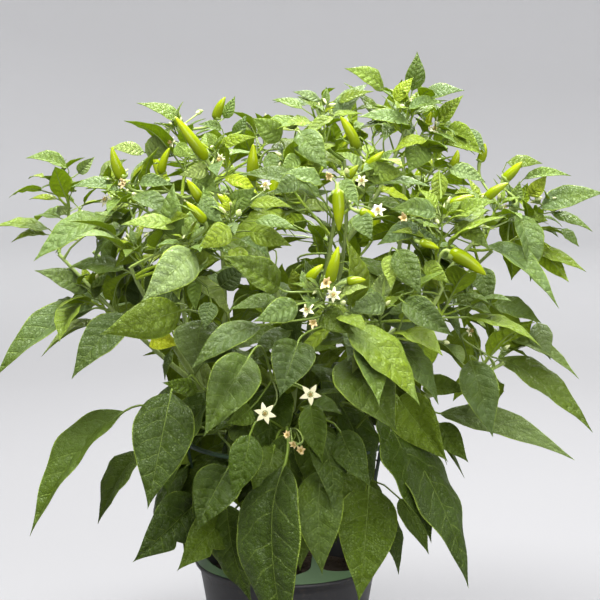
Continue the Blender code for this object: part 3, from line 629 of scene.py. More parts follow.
def move_to(mesh, points):
    """Moves the vertices of a mesh to rows of x, y and z."""
    mesh.vertices.foreach_set("co", np.asarray(points, np.float32).ravel())
    mesh.update()


def paint(mesh, along, second=None):
    """Writes the UV map that materials read, from numbers held for each vertex."""
    corners = np.zeros(len(mesh.loops), np.int32)
    mesh.loops.foreach_get("vertex_index", corners)
    layer = mesh.uv_layers.get(PARTS) or mesh.uv_layers.new(name=PARTS)
    values = np.zeros((len(corners), 2), np.float32)
    values[:, 0] = along[corners]
    if second is not None:
        values[:, 1] = second[corners]
    layer.data.foreach_set("uv", values.ravel())


def look(mesh, name, values):
    """Gives every vertex of a mesh the same three numbers, for its material to read."""
    attribute = mesh.attributes.new(name, "FLOAT_VECTOR", "POINT")
    rows = np.tile(np.asarray(values, np.float32), len(mesh.vertices))
    attribute.data.foreach_set("vector", rows)


def copy_of(master, points):
    """A new object whose mesh is a copy of a master's, with its vertices moved."""
    obj = bpy.data.objects.new("part", master.data.copy())
    bpy.context.scene.collection.objects.link(obj)
    move_to(obj.data, points)
    return obj


def keep_groups(groups, material, slot):
    """Joins each named group of parts into one piece and finishes it."""
    for name, parts in groups.items():
        keep(join(parts, name), material, slot)


def keep(obj, material, slot, *nodes):
    """Finishes a piece: its material, what it stands for and what it moves with. Its slot is not
    used.
    """
    obj.data.materials.clear()
    obj.data.materials.append(material)
    if nodes:
        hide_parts(*nodes)
    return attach(obj, "root")


# ---------------------------------------------------------------- curves


def unit(rows):
    """Rows of vectors, each with its length made 1."""
    return rows / np.maximum(np.linalg.norm(rows, axis=-1, keepdims=True), 1e-9)


def squared(hints, headings):
    """The unit vectors nearest to the hints that are square to the headings."""
    return unit(hints - headings * np.sum(hints * headings, axis=-1, keepdims=True))


def bezier(points, shares):
    """Places and headings at shares of the smooth curve that the control points pull."""
    t = np.asarray(shares, float)[:, None]
    rows = [np.tile(np.asarray(point, float), (len(t), 1)) for point in points]
    while len(rows) > 2:
        rows = [a * (1 - t) + b * t for a, b in zip(rows, rows[1:])]
    first, last = rows
    return first * (1 - t) + last * t, unit(last - first)


def through(points):
    """Control points of the curve that passes through its middle point halfway."""
    a, b, c = (Vector(point) * CM for point in points)
    return a, b * 2 - (a + c) / 2, c


def side_frame(headings):
    """A normal and a side at each point of a line, turning as little as they can."""
    normals = np.zeros_like(headings)
    normal = np.array(Vector(headings[0]).orthogonal().normalized())
    for i, heading in enumerate(headings):
        normal = squared(normal, heading)
        normals[i] = normal
    return normals, np.cross(headings, normals)


def point_on(curve, share):
    """One place on a curve, and its heading there."""
    return (Vector(row[0]) for row in bezier(curve, [share]))


def spoke(heading, turn, side=None):
    """The unit vector square to a heading that is turned about it, from side if it is given."""
    side = side or heading.orthogonal().normalized()
    return side * math.cos(turn) + heading.cross(side) * math.sin(turn)


MASTER = "master_"  # how the names of masters start


def made_once(build):
    """Makes a master, which other shapes are copies of, the first time that it is asked for. It
    is kept out of the scene."""
    def found(*divisions):
        name = MASTER + "_".join(map(str, (build.__name__, *divisions)))
        master = bpy.data.objects.get(name)
        if not master:
            master = build(*divisions)
            master.name = name
            for home in master.users_collection:
                home.objects.unlink(master)
        return master
    return found


@made_once
def tube_master(sides, rings):
    """A round rod along Z of unit radius, with one ring of edges at each whole height."""
    rod = open_circle(1, 0, sides, "NGON")
    for _ in range(rings - 1):
        extrude((0, 0, 1))
    close_mesh()
    face_outwards(rod)
    return smooth(rod, 70)


@made_once
def ball_master(segments, rings):
    """A unit ball whose poles are on Z."""
    deselect()
    bpy.ops.mesh.primitive_uv_sphere_add(segments=segments, ring_count=rings, radius=1)
    return smooth(bpy.context.object, 180)


def tube(points, headings, radii, sides, along=None):
    """A rod bent along a line. along says how far along each ring is, for its material."""
    count = len(points)
    master = tube_master(sides, count)
    rest = places(master.data)
    ring = np.rint(rest[:, 2]).astype(int)
    normals, lefts = side_frame(headings)
    radii = np.asarray(radii, float)[ring][:, None]
    offset = normals[ring] * rest[:, :1] + lefts[ring] * rest[:, 1:2]
    made = copy_of(master, points[ring] + offset * radii)
    shares = np.linspace(0, 1, count) if along is None else np.asarray(along, float)
    paint(made.data, shares[ring])
    return made


def reach(z):
    """How far the foliage reaches from the axis at height z, in metres."""
    heights, radii = zip(*CROWN)
    return float(np.interp(z / CM, heights, radii)) * CM


def crown_place(x, z, depth):
    """The point at x, z (centimetres) at this share of the crown's depth, negative on the back."""
    x, z = x * CM, z * CM
    half = CROWN_FLATNESS * math.sqrt(max(reach(z) ** 2 - x * x, (LEAST_DEPTH * CM) ** 2))
    return Vector((x, -half * depth, z))


def outward(point):
    """Up and away from the axis, the way that a leaf's upper face looks."""
    return Vector((point.x, point.y, 0)).normalized() * 0.7 + UP * 0.7


def across(heading, hint):
    """The unit vector nearest to hint that is square to heading."""
    return (hint - heading * hint.dot(heading)).normalized()


# ---------------------------------------------------------------- where stems run

STEM_STEPS = 40
HIDDEN_STEPS = 3  # a stem's first points lie in what it grows from, so nothing leaves it there
FORK_HEIGHT = MAIN_STEM[-1][2] * CM

StemPoint = namedtuple("StemPoint", "place thick heading name")


def thickness(radii, shares):
    """The radius at each share of a stem, from radii in centimetres spread evenly along it."""
    return np.interp(shares, np.linspace(0, 1, len(radii)), radii) * CM


def stem_points():
    """Points along every stem, with the name of the limb that each belongs to."""
    runs = [("main_stem", MAIN_STEM, MAIN_STEM_RADII)]
    for name, (route, branches) in LIMBS.items():
        runs.append((name, route, LIMB_RADII))
        runs.extend((name, branch, BRANCH_RADII) for branch in branches)
    shares = np.linspace(0, 1, STEM_STEPS)
    found = []
    for name, route, radii in runs:
        rows = zip(*bezier(through(route), shares), thickness(radii, shares))
        for place, heading, thick in list(rows)[HIDDEN_STEPS:]:
            found.append(StemPoint(Vector(place), thick, Vector(heading), name))
    return found


STEMS = stem_points()


def grow_from(goal, stems=None):
    """Where a stalk to goal leaves the nearest stem, the way it leaves, and the limb's name."""
    def far(stem):
        climb = max(stem.place.z - goal.z, 0)  # a stalk prefers to grow upwards
        return (stem.place - goal).length + climb
    place, thick, heading, name = min(stems or STEMS, key=far)
    out = across(heading, goal - place)
    return place + out * (thick * 0.7), (out + heading * 0.5).normalized(), name


def shoot_twigs():
    """The twig of each shoot: its control points, and close-set points along it."""
    curves, found = [], []
    for i, row in enumerate(SHOOTS):
        tip = crown_place(*row)
        lead = (outward(tip) + UP * 0.4).normalized()
        root, leave, _ = grow_from(tip - UP * 0.035)
        curve = stalk_curve(root, leave, tip, lead)
        curves.append(curve)
        for place, heading in zip(*bezier(curve, np.linspace(0.25, 1, 12))):
            thick = TWIG_RADII[1] * CM
            found.append(StemPoint(Vector(place), thick, Vector(heading), f"shoot_{i + 1}"))
    return curves, found


def stalk_curve(root, leave, end, lead):
    """Control points of a stalk that leaves its stem squarely and bends into what it carries."""
    span = (end - root).length
    return root, root + leave * span * 0.35, end - lead * span * 0.40, end


TWIG_CURVES, TWIGS = shoot_twigs()
ALL_STEMS = STEMS + TWIGS


# ---------------------------------------------------------------- one leaf

LEAF_SWELL = 0.85  # how fast a blade widens from its base
LEAF_TAPER = 1.42  # how fast it narrows to its drawn-out tip
WIDEST = LEAF_SWELL / (LEAF_SWELL + LEAF_TAPER)
LEAF_ARCH = 0.45  # how steeply a blade leaves its stalk before it droops
SIDE_VEINS = 7
VEIN_LEAN = 0.147  # how far along the blade a side vein has run when it meets the margin
VEIN_SWEEP = 0.05  # and how much further it curves towards the tip
VEIN_STAGGER = 0.45  # how far the left side's veins start after the right side's
MARGIN_WAVES = 3.2
BITES = ((0.33, 0.07, 0.45), (0.58, 0.04, 0.35))  # where, how wide and how deep a ragged edge is
NOTED_TONES = {"p": 0.885, "g": 0.75, "n": 0.30}  # the tone that a note in the tables gives a leaf
PARKED = -3.0  # height at which a blade master's rod waits beside its blade
# The wider the leaf, the finer its mesh: the least width, and its blade's and rod's divisions.
LEAF_MESHES = ((0.034, (26, 10, 7, 25)), (0.020, (12, 6, 5, 13)), (0, (7, 4, 3, 7)))


def outline(t):
    """Half width of a leaf at share t of its length, over its greatest half width. Like
    vein_count, it works on arrays for the mesh and on values for the material."""
    return (t / WIDEST) ** LEAF_SWELL * ((1 - t) / (1 - WIDEST)) ** LEAF_TAPER


def petal_outline(t):
    """The same for a petal, which is broad at its base."""
    return np.minimum(1, 0.5 + 1.6 * t) * (1 - t ** 2.4)


def vein_count(t, v):
    """How many side veins lie between the base and this place, and a whole number on a vein."""
    out = abs(v) * outline(t)
    return (t - out * VEIN_LEAN - out * out * VEIN_SWEEP) * SIDE_VEINS + (v > 0) * VEIN_STAGGER


@made_once
def blade_master(along, over, sides=0, rings=0):
    """A flat blade in leaf space: X is the share of its length, Y of its half width and Z of its
    thickness. The rod of its stalk and midrib is parked below it, from X = -1 to 1."""
    deselect()
    bpy.ops.mesh.primitive_grid_add(x_subdivisions=along, y_subdivisions=over, size=2)
    blade = bpy.context.object
    open_mesh(blade)
    bpy.ops.mesh.select_all(action="SELECT")
    bpy.ops.transform.resize(value=(0.5, 1, 1), center_override=(0, 0, 0))
    bpy.ops.transform.translate(value=(0.5, 0, 0))
    for end in (0, 1):
        choose("verts", lambda vert: abs(vert.co.x - end) < NEAR)
        bpy.ops.mesh.merge(type="CENTER")
    close_mesh()
    apply_modifier(blade, "SOLIDIFY", thickness=1, offset=-1)
    smooth(blade)
    if sides:
        rod = tube_master(sides, rings)
        x, y, z = places(rod.data).T
        parked = np.stack([z * 2 / (rings - 1) - 1, x, PARKED + y], axis=1)
        blade = join([blade, copy_of(rod, parked)], "blade")
    u, v, w = places(blade.data).T
    is_rod, is_under = w < PARKED / 2, w < -0.5
    code = np.where(is_rod, np.minimum(u - 1, -0.01), np.where(is_under, u + 2, u))
    paint(blade.data, code, v / 2 + 0.5)
    return blade


class Leaf:
    """One leaf: the curves of its stalk and blade, the way that it faces, and how it has grown."""

    def __init__(self, rng, root, leave, start, end, face, width, age, note=""):
        chord = end - start
        heading = chord.normalized()
        if "u" in note:
            face = Vector((-face.x, -face.y, face.z * 0.6))
        self.face = across(heading, face)
        lead = (heading + self.face * LEAF_ARCH).normalized()
        self.stalk = stalk_curve(root, leave, start, lead)
        self.blade = (start, start + lead * chord.length * 0.5, end)
        self.half = width / 2
        self.rod = 0.0004 + 0.014 * width
        self.age = age
        self.tone = rng.uniform(0.0, 1.0)
        for letter in note:
            self.tone = NOTED_TONES.get(letter, self.tone)
        self.yellow = "y" in note
        self.ragged = "r" in note
        usual = sizes()
        self.fold = usual.leaf_fold * rng.uniform(0.5, 1.4)
        self.curl = usual.leaf_curl * rng.uniform(0.5, 1.4)
        self.quilt = usual.leaf_quilting * rng.uniform(0.5, 1.4) * (1 + age)
        self.crinkle = usual.leaf_crinkle * rng.uniform(0.5, 1.5)
        self.ripple = usual.leaf_ripple * rng.uniform(0.4, 1.5)
        self.thick = usual.leaf_thickness
        self.twist = rng.uniform(-0.35, 0.35)
        self.bow = rng.uniform(-0.16, 0.16) * self.half
        self.phases = [rng.uniform(0, math.tau) for _ in range(3)]
        self.shape = outline


def relief(leaf, t, v, half):
    """How high a blade rises over its own line: its fold and the roll of its margins, and then the
    swellings between its side veins, its uneven buckles and the waves along its margins."""
    phase = np.where(v > 0, leaf.phases[0], leaf.phases[1])
    wave = np.sin(math.tau * MARGIN_WAVES * t + phase) * np.abs(v) ** 3
    inside = (1 - v ** 4) * np.clip(t * 6, 0, 1) * np.clip(np.abs(v) * 5, 0, 1)
    swell = np.abs(np.sin(math.pi * vein_count(t, v))) ** 0.8
    buckle = np.sin(math.tau * (2.3 * t + 0.7 * v) + leaf.phases[0])
    buckle *= np.sin(math.tau * (1.1 * v - 1.6 * t) + leaf.phases[1])
    rise = leaf.quilt * swell * inside + leaf.crinkle * buckle * inside + leaf.ripple * wave
    lift = half * (leaf.fold * np.abs(v) - leaf.curl * v * v)
    return lift + leaf.half * leaf.shape(t) * rise


def bend(master, leaf):
    """Bends a copy of the flat blade, and its stalk, into one leaf."""
    u, v, w = places(master.data).T
    rod = w < PARKED / 2
    t = np.clip(u, 0, 1)
    lines, headings = bezier(leaf.blade, t)
    on_stalk = u < 0
    lines[on_stalk], headings[on_stalk] = bezier(leaf.stalk, 1 + u[on_stalk])
    normals = squared(np.array(leaf.face), headings)
    lefts = np.cross(normals, headings)
    turn = (leaf.twist * t)[:, None]
    normals, lefts = (
        normals * np.cos(turn) + lefts * np.sin(turn),
        lefts * np.cos(turn) - normals * np.sin(turn),
    )
    half = leaf.half * leaf.shape(t)
    if leaf.ragged:
        for place, spread, depth in BITES:
            half *= 1 - depth * np.exp(-((t - place) / spread) ** 2) * (v > 0)
    bow = leaf.bow * 4 * t * (1 - t)
    wobble = leaf.half * 0.06 * np.sin(math.tau * 0.9 * t + leaf.phases[2]) * np.clip(t * 4, 0, 1)
    # The rod is thickest where it leaves the stem, and thins along the blade's underside.
    thin = 1.25 + 0.5 * np.clip(-u * 10 - 9, 0, 1) - 0.25 * (1 - np.clip(-u, 0, 1)) - 0.85 * t
    radius = leaf.rod * thin
    sink = -radius * 0.92 * np.clip(t * 12, 0, 1)
    rod_rise = sink + radius * (w - PARKED)
    blade_rise = relief(leaf, t, v, half) + leaf.thick * w
    sideways = bow + np.where(rod, radius, half) * v
    upwards = wobble + np.where(rod, rod_rise, blade_rise)
    made = copy_of(master, lines + lefts * sideways[:, None] + normals * upwards[:, None])
    look(made.data, "leaf_look", (leaf.age, leaf.tone, leaf.yellow))
    return made


def grown(leaf):
    """The finished mesh of a leaf."""
    divisions = next(found for least, found in LEAF_MESHES if leaf.half * 2 > least)
    return bend(blade_master(*divisions), leaf)


# ---------------------------------------------------------------- how leaves are set

LIGHTER = 0.34  # how much younger a leaf with the note l looks than its neighbours
WIDEST_ROLL = 1.35  # a blade is rolled away from the front until it looks this many times narrower
HIDDEN_LENGTH = 1.08  # a blade is at least this many times as long as it looks from the front
LEAST_LENGTH = 0.92  # and at least this share of the length that goes with its width
MOST_LEAN = 0.7  # it leans forward by no more than this share of the length that is seen
UPRIGHT_LEAN = 0.25  # an upright blade leans forward by this share of the others' lean


def varied(rng, age):
    """An age that is a little different for each leaf."""
    return min(max(age + rng.uniform(-0.12, 0.12), 0), 1)


def placed_leaf(rng, row, age, stems):
    """A leaf of the tables: its blade hangs where the row says, on a stalk from the nearest stem,
    and it is rolled until a blade of natural proportions looks as narrow as the row says."""
    x, z, tip_x, tip_z, seen, depth, note = row
    seen *= CM
    age -= LIGHTER if "l" in note else 0
    start = crown_place(x, z, depth)
    flat = Vector((tip_x - x, 0, tip_z - z)) * CM
    upright = flat.z > abs(flat.x) * 0.7
    size = max(flat.length * HIDDEN_LENGTH, seen / sizes().leaf_ratio * LEAST_LENGTH)
    forward = min(math.sqrt(size ** 2 - flat.length ** 2), flat.length * MOST_LEAN)
    front = Vector((0, -math.copysign(1, depth), 0))
    chord = flat + front * forward * (UPRIGHT_LEAN if upright else 1)
    width = min(max(seen, chord.length * sizes().leaf_ratio), seen * WIDEST_ROLL)
    turn = math.acos(seen / width)
    heading = chord.normalized()
    towards = across(heading, front + UP * 0.17)
    over = heading.cross(towards)
    if over.z + over.x * math.copysign(0.5, x) < 0:
        over.negate()
    face = towards * math.cos(turn) + over * math.sin(turn)
    root, leave, limb = grow_from(start, stems)
    return Leaf(rng, root, leave, start, start + chord, face, width, age, note), limb


def held_leaf(rng, root, out, heading, size, age, droop):
    """A leaf that grows from a shoot: it leans out, and its blade droops by a share of its size."""
    stalk = size * rng.uniform(0.25, 0.5)
    leave = (out * 0.9 + heading * 0.5).normalized()
    start = root + leave * stalk
    away = (out + heading * 0.25 + UP * 0.15).normalized()
    end = start + (away - UP * droop).normalized() * size
    face = UP * 0.6 + outward(start) * 0.9 + out * 0.2
    width = size * sizes().leaf_ratio * rng.uniform(0.84, 1.10)
    return Leaf(rng, root, leave, start, end, face, width, age)


def leafy_twig(rng, curve, radii, count, spans, age, droop):
    """A twig with leaves spiralling up it. spans is a leaf's length at its foot and at its tip."""
    shares = np.linspace(0, 1, 12)
    twig = tube(*bezier(curve, shares), thickness(radii, shares), 7)
    look(twig.data, "leaf_look", (age, 0.5, 0))
    parts = [twig]
    turn = rng.uniform(0, math.tau)
    for i in range(count):
        place, heading = point_on(curve, 0.35 + 0.65 * (i + 0.5) / count)
        out = (spoke(heading, turn) + UP * 0.15).normalized()
        size = spans[0] + (spans[1] - spans[0]) * i / max(count - 1, 1)
        leaf = held_leaf(rng, place, out, heading, size * rng.uniform(0.8, 1.2), age, droop)
        parts.append(grown(leaf))
        turn += GOLDEN_TURN + rng.uniform(-0.3, 0.3)
    return parts


# ---------------------------------------------------------------- materials of the plant

SUNLIT = (1.0, 0.88, 0.04)  # what a leaf's green is multiplied by where it turns warm
GOLD = (0.46, 0.48, 0.006)
DEEP_GOLD = (0.34, 0.42, 0.006)
CORK = (0.090, 0.066, 0.030)
FORK_PURPLE = (0.033, 0.015, 0.021)
WITHERED_TAN = (0.44, 0.30, 0.100)
ANTHER_BROWN = (0.26, 0.19, 0.040)
ANTHER_TAN = (0.50, 0.38, 0.120)


def leaf_material(shader, specular):
    """Leaf: uneven green between fine pale veins above, paler and duller below."""
    # Where this is: t runs along the blade and v across it, and stalks and midribs have x below 0.
    x, y = shader.part_map()
    age, tone, yellow = shader.split(shader.attribute("leaf_look"))
    under = x > 1.5
    stalk = 1 - (x > 0)
    t = (x - under * 2).clamped()
    v = y * 2 - 1
    out = abs(v) * outline(t)

    # Its veins and its grain, from coarse to fine.
    wander = shader.noise(55, 2)
    count = vein_count(t, v) + (wander - 0.5) * 0.5
    beside = abs((count + 0.5).fraction() - 0.5)
    side_vein = beside.step(0.060, 0.006) * (1 - abs(v) ** 2 * 0.75)
    midrib = (out / (1.08 - t)).step(0.029, 0.010)
    vein = side_vein.math("MAXIMUM", side_vein * (0.82 - age * 0.42), midrib)
    pebble = shader.cells(230) ** 2
    net = shader.cells(420, "DISTANCE_TO_EDGE").step(0.14, 0.02)
    blotch = shader.noise(28, 4)
    crinkle = shader.noise(130, 4)
    mottle = shader.noise(280, 4)
    fine = shader.noise(420, 3)
    speck = shader.cells(260).step(0.15, 0.08) * shader.noise(60, 2).step(0.46, 0.62)

    # The upper face: age gives its green; tone gives its lime, its paleness and its painted sheen.
    settings = colours()
    upper = shader.mix((age * 2).clamped(), settings.young, settings.mature)
    upper = shader.mix((age * 2 - 1).clamped(), upper, settings.old)
    # The palest leaves are bleached; their whitish pale colour is partly a painted sheen of their
    # crinkles.
    bleached_and_sheen = tone.step(0.76, 0.90) * (1.1 - age * 1.15).clamped()
    fresh = shader.mix((age * 1.4).clamped(), settings.lime, settings.mature)
    upper = shader.mix(tone.step(0.50, 0.72) * (0.6 - bleached_and_sheen * 0.4), upper, fresh)
    band = beside.step(0.38, 0.06) * crinkle.step(0.30, 0.60)
    upper = shader.mix(bleached_and_sheen * (0.34 + band * 0.36), upper, settings.pale)
    # Crinkle and pebble lighten the relief's raised parts and darken its hollows: painted light and
    # shade.
    shade = 0.78 + blotch * 0.36 + crinkle * 0.20 + mottle * 0.24 - net * 0.16 - pebble * 0.20
    shade = shade - age * 0.08
    # Each leaf's share of bluish painted sheen; leaves with more of it are darker, the others
    # warmer.
    bloom = (tone * 13.0).fraction()
    shade = shade * (1.22 - bloom * 0.52) * (0.86 + (tone * 7.0).fraction() * 0.32)
    upper = shader.scale(upper, shade)
    warm = (0.55 - bloom).clamped() * (1.8 - age * 0.6)
    upper = shader.mix(warm, upper, SUNLIT, "MULTIPLY")
    # Painted sheen: a bluish grey-green on blotches and raised crinkles, standing in for reflected
    # light.
    bloom = bloom * blotch.step(0.30, 0.60) * (0.70 - age * 0.68)
    bloom = bloom + crinkle.step(0.50, 0.68) * (0.10 - age * 0.08)
    upper = shader.mix(bloom, upper, settings.bloom)
    pale = shader.mix(age * 0.55, settings.vein, settings.mature)
    upper = shader.mix(vein * 0.62, upper, pale)
    upper = shader.mix(speck * (0.10 + age * 0.25), upper, settings.vein)
    edge = abs(v).step(0.88 + age * 0.07, 1.0) * blotch.step(0.38, 0.58) * (0.85 - age * 0.45)
    upper = shader.mix(edge, upper, shader.mix(age * 0.5, settings.lime, settings.vein))

    # The lower face, the rare yellow leaf, and the stalk.
    lower = shader.mix(vein * 0.55, settings.underside, settings.vein)
    lower = shader.mix(age * 0.65, lower, settings.mature)
    lower = shader.scale(lower, 0.80 + blotch * 0.35 - net * 0.15)
    blade = shader.mix(under, upper, lower)
    gold = shader.mix(blotch, GOLD, DEEP_GOLD)
    blade = shader.mix(yellow * 0.80, blade, gold)
    rod = shader.mix(blotch, settings.stem, settings.vein)
    rod = shader.mix(age * 0.75, rod, settings.mature)
    base = shader.mix(stalk, blade, rod)

    # The relief: swollen between its veins, which are sunk above and raised below.
    pillow = beside.step(0.0, 0.40) * 0.35 * (1 - abs(v) ** 4) - vein * 0.7
    height = (pillow - net * 0.30 - pebble * 0.60) * (1 - under * 2)
    height = height + crinkle * (0.75 + bleached_and_sheen * 0.5) + fine * 0.10
    rough = 0.33 + fine * 0.16 + under * 0.30 + age * 0.04
    glow_share = (0.34 - age * 0.32) * (1 - stalk)
    return shader.finish(
        base_color=base, roughness=rough, normal=shader.bump(height * (1 - stalk), 0.0021, 0.9),
        specular_ior_level=specular, glow=settings.glow, glow_share=glow_share,
    )


@finish_once
def crown_leaf(shader):
    """The glossier leaves of the crown."""
    return leaf_material(shader, 0.24)


@finish_once
def middle_leaf(shader):
    """The full-grown leaves around the middle."""
    return leaf_material(shader, 0.20)


@finish_once
def low_leaf(shader):
    """The dull old leaves around the support."""
    return leaf_material(shader, 0.15)


@finish_once
def stem_surface(shader):
    """Stem: green bark with fine streaks, browner towards the soil and purplish at the forks."""
    x, y, z = shader.split(shader.place())
    streaks = shader.noise(1.0, 3, shader.join(x * 900, y * 900, z * 90))
    patches = shader.noise(60, 3)
    fork = abs(z - FORK_HEIGHT).step(0.022, 0.004) * patches.step(0.42, 0.60)
    settings = colours()
    base = shader.mix(streaks, settings.stem, settings.vein)
    base = shader.mix(z.step(0.19, 0.12) * 0.75, base, CORK)
    base = shader.mix(fork * 0.5, base, FORK_PURPLE)
    base = shader.scale(base, 0.70 + patches * 0.5)
    return shader.finish(
        base_color=base, roughness=0.50 + streaks * 0.15, normal=shader.bump(streaks, 0.0006, 0.6)
    )


@finish_once
def fruit_surface(shader):
    """Fruit: glossy yellow-green skin, yellower to the tip, in a green calyx on a green stalk."""
    x, _ = shader.part_map()
    green = 1 - (x > 0)
    patches = shader.noise(70, 3)
    fine = shader.noise(700, 2)
    settings = colours()
    skin = shader.mix(x.step(0.15, 0.95) * 0.8, settings.fruit, settings.fruit_tip)
    skin = shader.mix(patches.step(0.42, 0.75) * 0.30, skin, settings.stem)
    streaks = shader.mix(patches, settings.stem, settings.vein)
    height = fine * 0.25 + shader.noise(160, 2)
    return shader.finish(
        base_color=shader.mix(green, skin, streaks), roughness=0.15 + green * 0.30 + fine * 0.08,
        normal=shader.bump(height, 0.0005, 0.25), glow=settings.fruit_tip,
        glow_share=0.10 * (1 - green), specular_ior_level=0.20,
    )


@finish_once
def flower_surface(shader):
    """Flower: creamy petals, greener at their foot, tan anthers, and tan all over once withered."""
    x, y = shader.part_map()
    wither, tone, bud = shader.split(shader.attribute("flower_look"))
    green = 1 - (x > 0)
    anther = x > 3.5
    t = (x - (x > 1.5) * 2).clamped()
    patches = shader.noise(300, 3)
    settings = colours()
    base = shader.mix(t.step(0.30, 0.02) * 0.65, settings.petal, settings.vein)
    line = abs(y * 2 - 1).step(0.10, 0.02) * (1 - t)
    base = shader.mix(line * 0.25, base, settings.vein)
    base = shader.mix(bud * (0.75 - t * 0.25), base, settings.vein)
    base = shader.mix(wither * (0.62 + patches * 0.38), base, WITHERED_TAN)
    tan = shader.mix(patches, ANTHER_BROWN, ANTHER_TAN)
    base = shader.mix(anther, base, tan)
    base = shader.mix(green, base, shader.mix(tone, settings.stem, settings.vein))
    return shader.finish(
        base_color=base, roughness=0.55 + patches * 0.15, normal=shader.bump(patches, 0.0004, 0.4),
        glow=settings.petal, glow_share=0.30 * (1 - green) * (1 - anther) * (1 - wither),
    )


# ---------------------------------------------------------------- materials of the pot

POT_CLOUD = (0.024, 0.022, 0.025)
POT_SCUFF = (0.050, 0.047, 0.050)
DRIED_MIX = (0.120, 0.090, 0.065)
CLOD = (0.060, 0.033, 0.018)
FIBRE = (0.110, 0.062, 0.030)
BARK = (0.300, 0.188, 0.075)
SUPPORT_CLOUD = (0.086, 0.142, 0.069)
# Dark green of painted shade, for the support where it stands among the leaves.
PAINTED_SHADE_GREEN = (0.012, 0.026, 0.016)


@finish_once
def pot_plastic(shader):
    """Moulded charcoal plastic: a fine grain, faint scuffs, and dried mix that dusts its lip."""
    place = shader.place()
    _, _, z = shader.split(place)
    grain = shader.noise(1800, 2)
    cloud = shader.noise(22, 4)
    flow = shader.node("ShaderNodeMapping", {}, {"Vector": place, "Scale": (260, 260, 8)})
    scuff = shader.noise(1.0, 4, flow).step(0.60, 0.74)
    dust = shader.noise(240, 3).step(0.52, 0.72) * z.step(POT_TOP - 0.030, POT_TOP)
    base = shader.mix(cloud * 0.5, colours().pot, POT_CLOUD)
    base = shader.mix(scuff * 0.30, base, POT_SCUFF)
    base = shader.mix(dust * 0.30, base, DRIED_MIX)
    height = grain * 0.5 + scuff * 0.3
    return shader.finish(
        base_color=base, roughness=0.40 + cloud * 0.12 + scuff * 0.12 + dust * 0.25,
        normal=shader.bump(height, 0.0002, 0.35), specular_ior_level=0.34,
    )


@finish_once
def peat(shader):
    """Damp peat with fibres, bark and a few pale flecks."""
    clod = shader.noise(140, 5)
    fibre = shader.cells(900).step(0.30, 0.10)
    fleck = shader.cells(260).step(0.14, 0.08)
    base = shader.mix(clod, colours().mix, CLOD)
    base = shader.mix(fibre * 0.35, base, FIBRE)
    base = shader.mix(fleck * 0.6, base, BARK)
    return shader.finish(
        base_color=base, roughness=0.80 + clod * 0.15,
        normal=shader.bump(clod + fibre * 0.4, 0.0016),
    )


@finish_once
def support_plastic(shader):
    """Moulded green plastic, finely grained, darkened by painted shade up among the leaves."""
    cloud = shader.noise(45, 4)
    grain = shader.noise(1500, 2)
    _, _, z = shader.split(shader.place())
    base = shader.mix(cloud * 0.35, colours().support, SUPPORT_CLOUD)
    # Painted shade: the struts and ring above the collar are darkened as if shaded by the leaves.
    base = shader.mix(z.step(POT_TOP + 0.010, POT_TOP + 0.045) * 0.85, base, PAINTED_SHADE_GREEN)
    return shader.finish(
        base_color=base, roughness=0.42 + cloud * 0.16, normal=shader.bump(grain, 0.0002, 0.3),
        specular_ior_level=0.20,
    )


@finish_once
def backdrop_paper(shader):
    """Matt paper, sprayed darker where the lamps are brightest, so that it looks evenly lit."""
    x, y, _ = shader.split(shader.place())
    cloud = shader.noise(3.0, 2)
    out = (x * x + y * y) ** 0.5
    even = 0.32 + out * 0.02 + out.step(1.4, 3.5) * 0.56
    wall = tuple(bpy.context.scene.pepper_stage.backdrop)
    base = shader.scale(wall, even.clamped() + cloud * 0.01)
    return shader.finish(base_color=base, roughness=0.95, specular_ior_level=0.1)


# ---------------------------------------------------------------- pot, mix and support

FOOT_RADIUS = 0.0585
WALL_HEIGHT = 0.1205
WALL_SPREAD = 0.0200  # the wall is this much wider at its top than at its foot
DRAIN_HOLES = 8
SOIL_SAG = 0.0040  # the mix lies this much lower at the wall than in the middle
SOIL_SHOULDER = 0.0070  # and its plain side ends this far below its top


def turned(profile, segments):
    """A closed solid drawn up from a disc, ring by ring, through (radius, height) points."""
    made = open_circle(*profile[0], segments, "NGON")
    for (before, low), (after, high) in zip(profile, profile[1:]):
        size = after / before
        extrude((0, 0, high - low), (size, size, 1), (0, 0, high))
    close_mesh()
    face_outwards(made)
    return made


def wall_radius(z):
    """Outside radius of the pot's tapered wall."""
    return FOOT_RADIUS + WALL_SPREAD * z / WALL_HEIGHT


